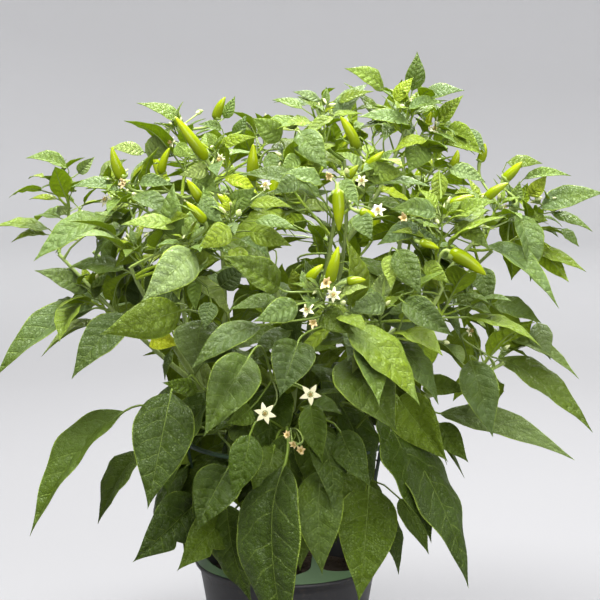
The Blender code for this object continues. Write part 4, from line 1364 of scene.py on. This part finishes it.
def make_pot():
    """The pot: a tapered wall on a stepped foot, a flared lip with a rolled edge, drain holes."""
    rim, top = RIM_RADIUS, POT_TOP
    wall = 0.0020
    step = 0.0006  # the wall stands out this far over the foot
    lip, edge = top - 0.0105, top - 0.0032  # the lip flares between these heights
    root = wall_radius(lip) + step
    flare = rim - step - root
    outside = [
        (0.0565, 0.0004), (0.0578, 0.0), (wall_radius(0) - 0.0001, 0.0010),
        (wall_radius(0.010), 0.0100), (wall_radius(0.011) + step, 0.0112),
        (wall_radius(0.055) + step, 0.0550), (wall_radius(0.095) + step, 0.0950),
        (root, lip - 0.0010),
    ]
    lip_steps = [i / 6 for i in range(1, 7)]
    outside += [(root + flare * s ** 1.3, lip + (edge - lip) * s) for s in lip_steps]
    inside = [
        (rim, top - 0.0021), (rim - 0.0001, top - 0.0010), (rim - 0.0008, top - 0.0001),
        (rim - 0.0018, top), (rim - 0.0026, top - 0.0008), (rim - 0.0031, top - 0.0030),
        (rim - 0.0046, lip + 0.0040), (wall_radius(lip) - wall * 0.4, lip - 0.0012),
        (wall_radius(0.055) - wall, 0.0550), (wall_radius(0.006) - wall, 0.0060),
        (wall_radius(0.006) - 2 * wall, 0.0025), (0.010, 0.0025),
    ]
    pot = turned(outside + inside, 144)
    holes = []
    for i in range(DRAIN_HOLES):
        turn = math.tau * (i + 0.5) / DRAIN_HOLES
        centre = (0.043 * math.cos(turn), 0.043 * math.sin(turn), 0)
        bpy.ops.mesh.primitive_cylinder_add(vertices=24, radius=0.0045, depth=0.02, location=centre)
        holes.append(bpy.context.object)
    cutter = join(holes, "drain_cutter")
    settle(cutter)
    apply_modifier(pot, "BOOLEAN", operation="DIFFERENCE", object=cutter)
    bpy.data.objects.remove(cutter)
    pot.name = "grower_pot"
    keep(smooth(pot, 35), pot_plastic(), "pot", "pot")


def lumpy(points, floor):
    """Raises and lowers the points that lie above a floor by noise, in lumps of three sizes."""
    for point in points:
        if point[2] > floor:
            spot = Vector(point) * 60
            lump = noise.noise(spot) * 0.0016 + noise.noise(spot * 3.1) * 0.0010
            point[2] += lump + noise.noise(spot * 8) * 0.0006
    return points


def make_soil():
    """The growing mix: a lumpy crown, crumbs and bark chips lying on it, and its plain body."""
    rng = random.Random(11)
    soil_low, soil_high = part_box("soil")
    edge, low = soil_high.x, soil_low.z
    steps = 38
    profile = [(wall_radius(low) - 0.0027, low), (edge - 0.0004, SOIL_TOP - SOIL_SHOULDER)]
    for i in range(steps):
        share = 1 - i / steps
        profile.append((edge * share - 0.0006, SOIL_TOP - SOIL_SAG * share ** 2 - 0.0012))
    mix = turned(profile, 150)
    move_to(mix.data, lumpy(places(mix.data), SOIL_TOP - 0.0060))
    deselect()
    bpy.ops.mesh.primitive_ico_sphere_add(subdivisions=1, radius=1)
    crumb = bpy.context.object
    rest = places(crumb.data)
    pieces = [mix]
    for _ in range(sizes().soil_grains):
        turn, out = rng.uniform(0, math.tau), math.sqrt(rng.uniform(0.01, 0.97)) * (edge - 0.004)
        size = [rng.uniform(0.7, 2.6), rng.uniform(0.5, 1.6), rng.uniform(0.3, 0.9)]
        rough = 1 + np.array([[rng.uniform(-0.25, 0.25)] for _ in rest])
        x, y, z = (rest * (np.array(size) / 1000) * rough).T
        c, s = math.cos(turn * 5), math.sin(turn * 5)  # the crumb lies this way round
        x, y = x * c - y * s + out * math.cos(turn), x * s + y * c + out * math.sin(turn)
        height = SOIL_TOP - SOIL_SAG * (out / edge) ** 2 - 0.0006
        pieces.append(copy_of(crumb, np.stack([x, y, z + height], axis=1)))
    bpy.data.objects.remove(crumb)
    keep(smooth(join(pieces, "growing_mix"), 40), peat(), "soil", "soil")


def make_support():
    """The support in one moulding: a collar whose edge sweeps up to four struts, and their ring."""
    segments = 240
    first = math.radians(18 - 90)  # the first strut, to the right of the front
    quarter = math.pi / 4  # half the angle between two struts
    strut = math.tau / segments  # half a strut's width, as an angle
    levels, risers = 6, 14  # rings of faces in the collar, and above it in the struts
    foot = POT_TOP + 0.0003
    collar, flare, thick = 0.0035, 0.0240, 0.0016  # the collar's height, and at a strut
    outer, inner, ring = 0.0838, 0.0790, 0.0950  # radii at the rim, above the flare, at the ring

    def beside(point):
        """Angle from the nearest strut's middle."""
        angle = math.atan2(point[1], point[0]) - first
        return abs((angle + quarter) % (2 * quarter) - quarter)

    band = open_circle(outer, foot, segments)
    for _ in range(levels):
        extrude((0, 0, 1))
    top = foot + levels
    choose("edges", lambda edge: all(
        abs(vert.co.z - top) < NEAR and beside(vert.co) < strut * 1.2 for vert in edge.verts
    ))
    for _ in range(risers):
        extrude((0, 0, 1))
    close_mesh()
    points = places(band.data)
    for point in points:
        level = point[2] - foot
        away = max(beside(point) - strut, 0) / (quarter - strut)
        rise = collar + (flare - collar) * (1 - away ** 0.2)
        climb = min(level / levels, 1) * rise
        radius = outer + (inner - outer) * climb / flare
        if level > levels + 0.5:
            share = (level - levels) / risers
            climb = flare + (RING_Z - foot - flare) * share
            radius = inner + (ring - inner) * share
        heading = math.atan2(point[1], point[0])
        point[:] = radius * math.cos(heading), radius * math.sin(heading), foot + climb
    move_to(band.data, points)
    apply_modifier(band, "SOLIDIFY", thickness=thick, offset=-1)
    hoop = open_circle(ring + 0.0017, RING_LOW.z, 144)
    extrude((0, 0, RING_HIGH.z - RING_LOW.z))
    close_mesh()
    apply_modifier(hoop, "SOLIDIFY", thickness=0.0050, offset=-1)
    apply_modifier(hoop, "BEVEL", width=0.0006, segments=2, limit_method="ANGLE")
    for part in (band, hoop):
        face_outwards(part)
    apply_modifier(band, "BOOLEAN", operation="UNION", object=hoop)
    bpy.data.objects.remove(hoop)
    nodes = [f"support_{kind}_{i + 1}" for kind in ("arm", "ring_arc") for i in range(4)]
    band.name = "plant_support"
    keep(smooth(band, 35), support_plastic(), "support", *nodes)


# ---------------------------------------------------------------- stems


def stem_rod(points, radii, sides=12, count=18):
    """A stem that thickens a little at its joints."""
    shares = np.linspace(0, 1, count)
    joint = np.exp(-((shares * 3) % 1 - 0.5) ** 2 / 0.008)
    end = np.exp(-((1 - shares) / 0.03) ** 2)
    thick = thickness(radii, shares) * (1 + 0.10 * joint + 0.22 * end)
    return tube(*bezier(through(points), shares), thick, sides)


def make_main_stem():
    """The stem from the mix to the first fork, corky and wider where it enters the mix."""
    radii = (MAIN_STEM_RADII[0] * 1.25, MAIN_STEM_RADII[0] * 0.92, *MAIN_STEM_RADII[1:])
    stem = stem_rod(MAIN_STEM, radii, 20, 40)
    points = places(stem.data)
    for point in points:
        point[:2] *= 1 + 0.07 * noise.noise(Vector(point) * 130)
    move_to(stem.data, points)
    stem.name = "stem_foot"
    keep(smooth(stem, 70), stem_surface(), "stem", "main_stem")


def make_limbs():
    """Each limb in one piece with its side branches."""
    for name, (route, branches) in LIMBS.items():
        limb = stem_rod(route, LIMB_RADII)
        for branch in branches:
            arm = stem_rod(branch, BRANCH_RADII, 10, 20)
            apply_modifier(limb, "BOOLEAN", operation="UNION", object=arm)
            bpy.data.objects.remove(arm)
        limb.name = f"forked_{name}"
        keep(smooth(limb, 60), stem_surface(), "stem", name)


# ---------------------------------------------------------------- foliage

# Each zone of the plant: its leaves in the tables, how old they look, and their material.
ZONES = (
    ("low", LOW_LEAVES, 0.95, low_leaf),
    ("mid", MID_LEAVES, 0.72, middle_leaf),
    ("top", TOP_LEAVES, 0.25, crown_leaf),
)
BACK_DEPTH = 0.55  # leaves of the tables with at least this crown depth are repeated on the back
YOUNG_HEIGHT = 44  # shoots above this many centimetres are young and have small leaves


def make_placed_leaves():
    """The leaves of the tables. Those with a solid in the frame stand alone, and the others are
    joined into one piece for each zone, limb and side that they grow on."""
    for zone, rows, age, surface in ZONES:
        rng = random.Random(zone)
        groups = {}
        for i, row in enumerate(rows):
            framed = i < FRAMED[zone]
            leaf, limb = placed_leaf(rng, row, varied(rng, age), STEMS if framed else ALL_STEMS)
            made = grown(leaf)
            if framed:
                made.name = f"{zone}_leaf_{i + 1}"
                keep(made, surface(), "leaf", f"leaf_{zone}_{i + 1}")
            else:
                groups.setdefault(f"leaves_{zone}_{limb}", []).append(made)
        keep_groups(groups, surface(), "leaf")


def make_back_leaves():
    """The back of the crown: as many leaves as the front, with their places shifted a little."""
    rng = random.Random("back")
    for zone, rows, age, surface in ZONES:
        groups = {}
        for x, z, tip_x, tip_z, width, depth, _ in rows:
            if depth < BACK_DEPTH:
                continue
            if zone == "top":
                drop = 0.35 * abs(crown_place(x, z, depth).y) / CM
            else:
                drop = rng.uniform(-1, 1)
            shift = rng.uniform(-1.5, 1.5)
            row = (x + shift, z - drop, tip_x + shift, tip_z - drop, width, -depth, "")
            leaf, limb = placed_leaf(rng, row, varied(rng, age), ALL_STEMS)
            groups.setdefault(f"leaves_back_{zone}_{limb}", []).append(grown(leaf))
        keep_groups(groups, surface(), "leaf")


def make_inner_leaves():
    """Older leaves inside the crown, which hang from the limbs and close the gaps."""
    rng = random.Random("inner")
    for name in LIMBS:
        stems = [stem for stem in STEMS if stem.name == name and stem.place.z > 0.25]
        parts = []
        for _ in range(sizes().inner_leaves):
            place, thick, heading, _ = rng.choice(stems)
            out = spoke(heading, rng.uniform(0, math.tau)) + outward(place) * 0.5
            out.normalize()
            size, droop = rng.uniform(0.045, 0.085), rng.uniform(0.3, 1.0)
            leaf = held_leaf(rng, place + out * thick * 0.6, out, heading, size, 0.75, droop)
            far = leaf.blade[-1]
            if Vector((far.x, far.y, 0)).length < reach(far.z) * 0.82 and far.z > 0.19:
                parts.append(grown(leaf))
        keep(join(parts, f"inner_leaves_{name}"), low_leaf(), "leaf")


def make_skirt():
    """Old leaves all round the support, which hang from the feet of the limbs."""
    rng = random.Random("skirt")
    groups = {}
    for i in range(sizes().skirt_leaves):
        turn = i * GOLDEN_TURN
        out = Vector((math.cos(turn), math.sin(turn), 0))
        start = out * rng.uniform(0.040, 0.095) + UP * rng.uniform(0.225, 0.310)
        size = rng.uniform(0.070, 0.105)
        droop = rng.uniform(0.8, 1.7)
        end = start + (out * rng.uniform(0.4, 0.9) - UP * droop).normalized() * size
        end.z = max(end.z, POT_TOP + 0.030)
        root, leave, limb = grow_from(start)
        face = out * 0.8 + UP * 0.5
        leaf = Leaf(rng, root, leave, start, end, face, size * rng.uniform(0.42, 0.52), 1.0)
        groups.setdefault(f"skirt_{limb}", []).append(grown(leaf))
    keep_groups(groups, low_leaf(), "leaf")


def tip_leaves(rng, curve, age):
    """The tuft of unfolding yellowish leaves at a shoot's tip."""
    tip, heading = point_on(curve, 1.0)
    parts = []
    for i in range(sizes().tip_leaves):
        out = (spoke(heading, i * GOLDEN_TURN) + heading * 0.7).normalized()
        leaf = held_leaf(rng, tip, out, heading, rng.uniform(0.009, 0.018), age * 0.5, 0.1)
        leaf.tone = rng.uniform(0.56, 0.74)
        parts.append(grown(leaf))
    return parts


def make_shoots():
    """The leafy shoots that make up the crown's surface, each with one or two side twigs."""
    rng = random.Random("shoots")
    for i, ((_, z, _), curve) in enumerate(zip(SHOOTS, TWIG_CURVES)):
        age, span = (0.15, 0.049) if z > YOUNG_HEIGHT else (0.35, 0.061)
        count = sizes().shoot_leaves
        parts = leafy_twig(rng, curve, TWIG_RADII, count, (span, 0.022), age, 0.35)
        for _ in range(rng.choice((1, 2))):
            place, heading = point_on(curve, rng.uniform(0.35, 0.7))
            out = spoke(heading, rng.uniform(0, math.tau))
            way = (heading * 0.7 + out * 0.5 + UP * 0.1).normalized()
            end = place + way * rng.uniform(0.025, 0.04)
            twig = (place, place + out * 0.008 + heading * 0.006, end - heading * 0.008, end)
            parts += leafy_twig(rng, twig, SIDE_TWIG_RADII, 3, (span * 0.7, 0.020), age, 0.3)
        parts += tip_leaves(random.Random(f"tip {i}"), curve, age)
        keep(join(parts, f"shoot_{i + 1}"), crown_leaf(), "leaf")


# ---------------------------------------------------------------- fruit and flowers

# Profiles: pairs of the share of a thing's length and the share of its greatest radius there.
FRUIT_PROFILE = (
    (0, 0), (0.03, 0.55), (0.10, 0.92), (0.22, 1), (0.40, 0.95), (0.60, 0.80),
    (0.78, 0.58), (0.92, 0.30), (0.98, 0.14), (1, 0),
)
CALYX_PROFILE = (
    (0.010, 0.42), (0.025, 0.66), (0.060, 0.94), (0.120, 1.08), (0.118, 0.98), (0.05, 0.40),
)
BUD_PROFILE = ((0, 0), (0.15, 0.8), (0.45, 1), (0.75, 0.8), (1, 0))
TIP_BUD_PROFILE = ((0, 0), (0.15, 0.9), (0.45, 1), (0.75, 0.7), (1, 0))
ANTHER_PROFILE = ((0, 0), (0.2, 0.7), (0.5, 1), (0.8, 0.7), (1, 0))
OVARY_PROFILE = ((0, 0), (0.1, 0.8), (0.4, 1), (0.7, 0.6), (0.8, 0.2), (1, 0))
FRUIT_BEND = 0.12
FRUIT_SLIMNESS = 0.88
CALYX_SIDES = 15
ANTHER_CODE = 3.6  # what the UV map holds on anthers and ovaries, so that they turn out tan


def swollen(curve, profile, radius, master, lumps=0.0, phase=0.0, code=0.0):
    """A ball drawn out along a curve to a profile of (share of its length, share of radius)."""
    x, y, z = places(master.data).T
    share = (1 + z) / 2
    lines, headings = bezier(curve, share)
    order = np.argsort(share, kind="stable")
    normals, lefts = np.zeros_like(lines), np.zeros_like(lines)
    normals[order], lefts[order] = side_frame(headings[order])
    angle = np.arctan2(y, x)
    thick = np.interp(share, *zip(*profile)) * radius
    thick *= 1 + lumps * np.sin(2 * angle + phase + 4 * share) + lumps * np.sin(3 * angle - phase)
    offset = normals * np.cos(angle)[:, None] + lefts * np.sin(angle)[:, None]
    made = copy_of(master, lines + offset * thick[:, None])
    paint(made.data, np.maximum(share, 0.002) + code)
    return made


def calyx(curve, lead, start, radius, long, thin, teeth=0.045):
    """A stalk that thickens into the five-toothed calyx around a fruit's shoulder."""
    shares = np.linspace(0, 1, 14)
    lines, headings = bezier(curve, shares)
    radii = list(np.interp(shares, (0, 0.1, 0.75, 1), (thin * 1.3, thin, thin * 1.05, thin * 1.7)))
    lead = np.array(lead)
    cup = [np.array(start) + lead * long * share for share, _ in CALYX_PROFILE]
    lines = np.vstack([lines, cup])
    headings = np.vstack([headings, [lead] * len(cup)])
    radii += [radius * share for _, share in CALYX_PROFILE]
    made = tube(lines, headings, radii, CALYX_SIDES, np.linspace(-1, -0.01, len(lines)))
    x, y, z = places(tube_master(CALYX_SIDES, len(lines)).data).T
    on_rim = np.isin(np.rint(z), (len(lines) - 3, len(lines) - 2))
    corner = np.rint(np.arctan2(y, x) / math.tau * CALYX_SIDES)
    points = places(made.data)
    points[on_rim & (corner % 3 == 0)] += lead * long * teeth
    move_to(made.data, points)
    return made


def make_peppers():
    """The fruits, each with its calyx and stalk."""
    rng = random.Random("peppers")
    for i, (x, z, tip_x, tip_z, radius, depth) in enumerate(PEPPERS):
        radius *= FRUIT_SLIMNESS * CM
        start = crown_place(x, z, depth)
        flat = Vector((tip_x - x, 0, tip_z - z)) * CM
        end = start + flat - Vector((0, math.copysign(flat.length * 0.15, depth), 0))
        lead = flat.normalized()
        bow = across((end - start).normalized(), outward(start)) * flat.length * FRUIT_BEND
        framed = i < FRAMED["pepper"]
        root, leave, _ = grow_from(start, STEMS if framed else ALL_STEMS)
        stalk = stalk_curve(root, leave, start, lead)
        curve = (start, (start + end) / 2 + bow, end)
        phase = rng.uniform(0, math.tau)
        fruit = swollen(curve, FRUIT_PROFILE, radius, ball_master(20, 18), 0.035, phase)
        cap = calyx(stalk, lead, start, radius, flat.length, 0.0011)
        pepper = join([fruit, cap], f"fruit_{i + 1}")
        keep(pepper, fruit_surface(), "pepper", *([f"pepper_{i + 1}"] if framed else []))


def petal(rng, heart, face, out, size, fresh):
    """One petal: it lies open on a fresh flower, and is shrivelled and half closed otherwise."""
    start = heart - face * 0.0008 + out * 0.0007
    spread = out - face * 0.14 if fresh else out * rng.uniform(0.3, 0.8) + face * 0.8
    end = start + spread * (size if fresh else size * rng.uniform(0.6, 1.0))
    leaf = Leaf(rng, start, out, start, end, face, (end - start).length * 0.56, 0)
    leaf.shape = petal_outline
    leaf.thick, leaf.quilt, leaf.crinkle, leaf.bow = 0.0003, 0.0, 0.0, 0.0
    leaf.fold, leaf.curl, leaf.ripple = 0.10, 0.25, 0.05 if fresh else 0.50
    made = bend(blade_master(6, 4), leaf)
    made.data.attributes.remove(made.data.attributes["leaf_look"])
    return made


def flower_parts(rng, heart, face, kind, size):
    """A flower's petals, anthers and ovary, or a closed bud, on a thin stalk."""
    root, leave, _ = grow_from(heart, ALL_STEMS)
    behind = heart - face * 0.004
    stalk = stalk_curve(root, leave, behind, face)
    parts = [calyx(stalk, face, behind, 0.0023, 0.030, 0.00065, 0.02)]
    if kind == "bud":
        curve = (behind, heart, heart + face * 0.004)
        return [*parts, swollen(curve, BUD_PROFILE, 0.0019, ball_master(10, 8))]
    up = across(face, UP)
    petals = rng.choice((5, 6, 6))
    spin = rng.uniform(0, math.tau)
    for i in range(petals):
        turn = spin + math.tau * i / petals + rng.uniform(-0.06, 0.06)
        parts.append(petal(rng, heart, face, spoke(face, turn, up), size, kind == "open"))
    small_ball = ball_master(8, 6)
    for i in range(5):
        out = spoke(face, spin + math.tau * (i + 0.5) / 5, up)
        low = heart + out * 0.0010
        curve = (low, low + face * 0.0012, low + face * 0.0026 + out * 0.0006)
        parts.append(swollen(curve, ANTHER_PROFILE, 0.0006, small_ball, code=ANTHER_CODE))
    curve = (heart - face * 0.0010, heart, heart + face * 0.0030)
    return [*parts, swollen(curve, OVARY_PROFILE, 0.0010, small_ball, code=ANTHER_CODE)]


def make_tip_buds():
    """The small buds around the shoots' tips, in one piece for each side of the crown."""
    rng = random.Random("tip buds")
    shares = np.linspace(0, 1, 6)
    groups = {}
    for x, z, depth in SHOOTS:
        tip = crown_place(x, z, depth)
        for _ in range(sizes().tip_buds):
            out = Vector((rng.uniform(-1, 1), rng.uniform(-1, 1), rng.uniform(0.1, 1))).normalized()
            heart = tip + out * rng.uniform(0.006, 0.014) + UP * 0.002
            nod = (out + Vector((0, 0, rng.uniform(-1.2, 0.4)))).normalized()
            size = rng.uniform(0.0024, 0.0044)
            stalk = stalk_curve(tip - UP * 0.004, out, heart, nod)
            radii = np.interp(shares, (0, 1), (0.0004, 0.0006))
            stem = tube(*bezier(stalk, shares), radii, 4, np.linspace(-1, -0.01, 6))
            curve = (heart - nod * 0.0006, heart + nod * size * 0.6, heart + nod * size * 1.7)
            bud = swollen(curve, TIP_BUD_PROFILE, size * 0.40, ball_master(6, 5))
            tone = rng.random()
            for part in (stem, bud):
                look(part.data, "flower_look", (0, tone, 1))
            side = ("back" if depth < 0 else "front") + ("_left" if x < 0 else "_right")
            groups.setdefault(f"shoot_buds_{side}", []).extend((stem, bud))
    keep_groups(groups, flower_surface(), "petal")


def make_flowers():
    """Open flowers, withered ones that cling on, and buds."""
    rng = random.Random("flowers")
    for kind, rows in (("open", FLOWERS), ("withered", WITHERED), ("bud", BUDS)):
        for i, (x, z, depth) in enumerate(rows):
            heart = crown_place(x, z, depth)
            face = Vector((heart.x * 0.5, heart.y, 0.02)).normalized()  # it looks outwards
            framed = kind == "open" and i < FRAMED["flower"]
            if not framed:
                tilt = Vector((rng.uniform(-0.9, 0.9), 0, rng.uniform(-0.6, 1.0)))
                face = (face + tilt).normalized()
            size = 0.0088 if framed else rng.uniform(0.0044, 0.0062)
            size *= 1.5 if kind == "withered" else 1
            parts = flower_parts(rng, heart, face, kind, size)
            for part in parts:
                look(part.data, "flower_look", (kind == "withered", rng.random(), kind == "bud"))
            flower = join(parts, f"{kind}_blossom_{i + 1}")
            keep(flower, flower_surface(), "petal", *([f"flower_{i + 1}"] if framed else []))


# ---------------------------------------------------------------- stage

# Each light: its name, its place, the length of its side, and its power.
LIGHTS = (
    ("key_light", (-0.7, -0.8, 2.5), 0.9, 134),
    ("fill_light", (0.9, -2.3, 1.3), 2.0, 94),
    ("top_light", (0.3, 0.1, 2.5), 1.2, 146),
    ("back_light", (0.3, 1.5, 2.2), 1.1, 104),
)
LIGHTS_AIM = (0, 0, 0.35)
SKY = (1.0, 0.99, 0.96, 1)
SKY_STRENGTH = 1.25
SENSOR = 36


def make_backdrop():
    """A round floor of paper that curves up into a wall all the way round."""
    wall, sweep, height, steps = 4.2, 1.2, 4.5, 12
    profile = [(0.001, 0.0), (0.4, 0.0), (1.2, 0.0), (3.0, 0.0)]
    for i in range(1, steps + 1):
        turn = math.pi / 2 * i / steps
        profile.append((wall - sweep + sweep * math.sin(turn), sweep * (1 - math.cos(turn))))
    profile.append((wall, height))
    paper = open_circle(*profile[0], 96, "NGON")
    for (before, low), (after, high) in zip(profile, profile[1:]):
        choose("edges", lambda edge: all(
            abs(vert.co.xy.length - before) < NEAR and abs(vert.co.z - low) < NEAR
            for vert in edge.verts
        ))
        size = after / before
        extrude((0, 0, high - low), (size, size, 1), (0, 0, high))
    close_mesh()
    paper.name = "backdrop"
    paper.data.shade_smooth()
    paper.data.materials.append(backdrop_paper())


def add_light(name, place, size, power):
    """A soft square light that looks at the plant's middle and that no camera sees."""
    lamp = bpy.data.lights.new(name, "AREA")
    lamp.shape = "SQUARE"
    lamp.size = size
    lamp.energy = power
    light = bpy.data.objects.new(name, lamp)
    light.location = place
    towards = Vector(LIGHTS_AIM) - light.location
    light.rotation_euler = towards.to_track_quat("-Z", "Y").to_euler()
    light.visible_camera = False
    bpy.context.scene.collection.objects.link(light)


def make_stage():
    """Backdrop, lights, pale surroundings and the camera."""
    scene = bpy.context.scene
    settings = scene.pepper_stage
    make_backdrop()
    for row in LIGHTS:
        add_light(*row)
    world = bpy.data.worlds.new("surroundings")
    world.use_nodes = True
    glow = world.node_tree.nodes["Background"]
    glow.inputs["Color"].default_value = SKY
    glow.inputs["Strength"].default_value = SKY_STRENGTH
    scene.world = world
    lens = bpy.data.cameras.new("camera")
    lens.sensor_width = SENSOR
    lens.lens = SENSOR * settings.distance / settings.view_width
    aim = Vector(settings.aim)
    towards = Vector((0, math.cos(settings.elevation), -math.sin(settings.elevation)))
    camera = bpy.data.objects.new("camera", lens)
    camera.location = aim - towards * settings.distance
    camera.rotation_euler = towards.to_track_quat("-Z", "Y").to_euler()
    scene.collection.objects.link(camera)
    scene.camera = camera
    scene.view_settings.view_transform = "Standard"


# ---------------------------------------------------------------- add-on


class PEPPER_OT_stage(bpy.types.Operator):
    """Adds the backdrop, the lights and the camera"""

    bl_idname = "pepper.stage"
    bl_label = "Stage"

    def execute(self, context):
        make_stage()
        return {"FINISHED"}


class PEPPER_OT_pot(bpy.types.Operator):
    """Models the pot"""

    bl_idname = "pepper.pot"
    bl_label = "Pot"

    def execute(self, context):
        make_pot()
        return {"FINISHED"}


class PEPPER_OT_soil(bpy.types.Operator):
    """Models the growing mix and its crumbs"""

    bl_idname = "pepper.soil"
    bl_label = "Growing mix"

    def execute(self, context):
        make_soil()
        return {"FINISHED"}


class PEPPER_OT_support(bpy.types.Operator):
    """Models the plant support"""

    bl_idname = "pepper.support"
    bl_label = "Support"

    def execute(self, context):
        make_support()
        return {"FINISHED"}


class PEPPER_OT_stems(bpy.types.Operator):
    """Models the main stem and the limbs"""

    bl_idname = "pepper.stems"
    bl_label = "Stems"

    def execute(self, context):
        make_main_stem()
        make_limbs()
        return {"FINISHED"}


class PEPPER_OT_leaves(bpy.types.Operator):
    """Models the leaves that are placed one by one"""

    bl_idname = "pepper.leaves"
    bl_label = "Leaves"

    def execute(self, context):
        make_placed_leaves()
        return {"FINISHED"}


class PEPPER_OT_back_leaves(bpy.types.Operator):
    """Models the leaves on the back"""

    bl_idname = "pepper.back_leaves"
    bl_label = "Back leaves"

    def execute(self, context):
        make_back_leaves()
        return {"FINISHED"}


class PEPPER_OT_inner_leaves(bpy.types.Operator):
    """Models the leaves inside the crown and around the support"""

    bl_idname = "pepper.inner_leaves"
    bl_label = "Inner leaves"

    def execute(self, context):
        make_inner_leaves()
        make_skirt()
        return {"FINISHED"}


class PEPPER_OT_shoots(bpy.types.Operator):
    """Models the leafy shoots"""

    bl_idname = "pepper.shoots"
    bl_label = "Shoots"

    def execute(self, context):
        make_shoots()
        return {"FINISHED"}


class PEPPER_OT_peppers(bpy.types.Operator):
    """Models the fruits"""

    bl_idname = "pepper.peppers"
    bl_label = "Peppers"

    def execute(self, context):
        make_peppers()
        return {"FINISHED"}


class PEPPER_OT_flowers(bpy.types.Operator):
    """Models the flowers, the withered flowers and the buds"""

    bl_idname = "pepper.flowers"
    bl_label = "Flowers"

    def execute(self, context):
        make_flowers()
        make_tip_buds()
        return {"FINISHED"}


OPERATORS = (
    PEPPER_OT_stage,
    PEPPER_OT_pot,
    PEPPER_OT_soil,
    PEPPER_OT_support,
    PEPPER_OT_stems,
    PEPPER_OT_leaves,
    PEPPER_OT_back_leaves,
    PEPPER_OT_inner_leaves,
    PEPPER_OT_shoots,
    PEPPER_OT_peppers,
    PEPPER_OT_flowers,
)


class PEPPER_PT_sidebar(bpy.types.Panel):
    """Lists the plant's settings and pieces in the sidebar."""

    bl_label = "Pepper Plant"
    bl_space_type = "VIEW_3D"
    bl_region_type = "UI"
    bl_category = "Pepper Plant"

    def draw(self, context):
        for group in ("pepper_sizes", "pepper_colours", "pepper_stage"):
            box = self.layout.box()
            settings = getattr(context.scene, group)
            for name in settings.__annotations__:
                box.prop(settings, name)
        for made in OPERATORS:
            self.layout.operator(made.bl_idname)


CLASSES = (PlantSizes, PlantColours, StageSettings, *OPERATORS, PEPPER_PT_sidebar)


def register():
    """Adds the classes and their settings to Blender."""
    for made in CLASSES:
        bpy.utils.register_class(made)
    bpy.types.Scene.pepper_sizes = bpy.props.PointerProperty(type=PlantSizes)
    bpy.types.Scene.pepper_colours = bpy.props.PointerProperty(type=PlantColours)
    bpy.types.Scene.pepper_stage = bpy.props.PointerProperty(type=StageSettings)


def unregister():
    """Removes the settings and the classes again."""
    del bpy.types.Scene.pepper_sizes
    del bpy.types.Scene.pepper_colours
    del bpy.types.Scene.pepper_stage
    for made in reversed(CLASSES):
        bpy.utils.unregister_class(made)


def main():
    """Builds all of it in order."""
    register()
    for made in OPERATORS:
        getattr(bpy.ops.pepper, made.bl_idname.split(".")[1])()
    for obj in list(bpy.data.objects):
        if obj.name.startswith(MASTER):
            bpy.data.objects.remove(obj)


if __name__ == "__main__":
    main()
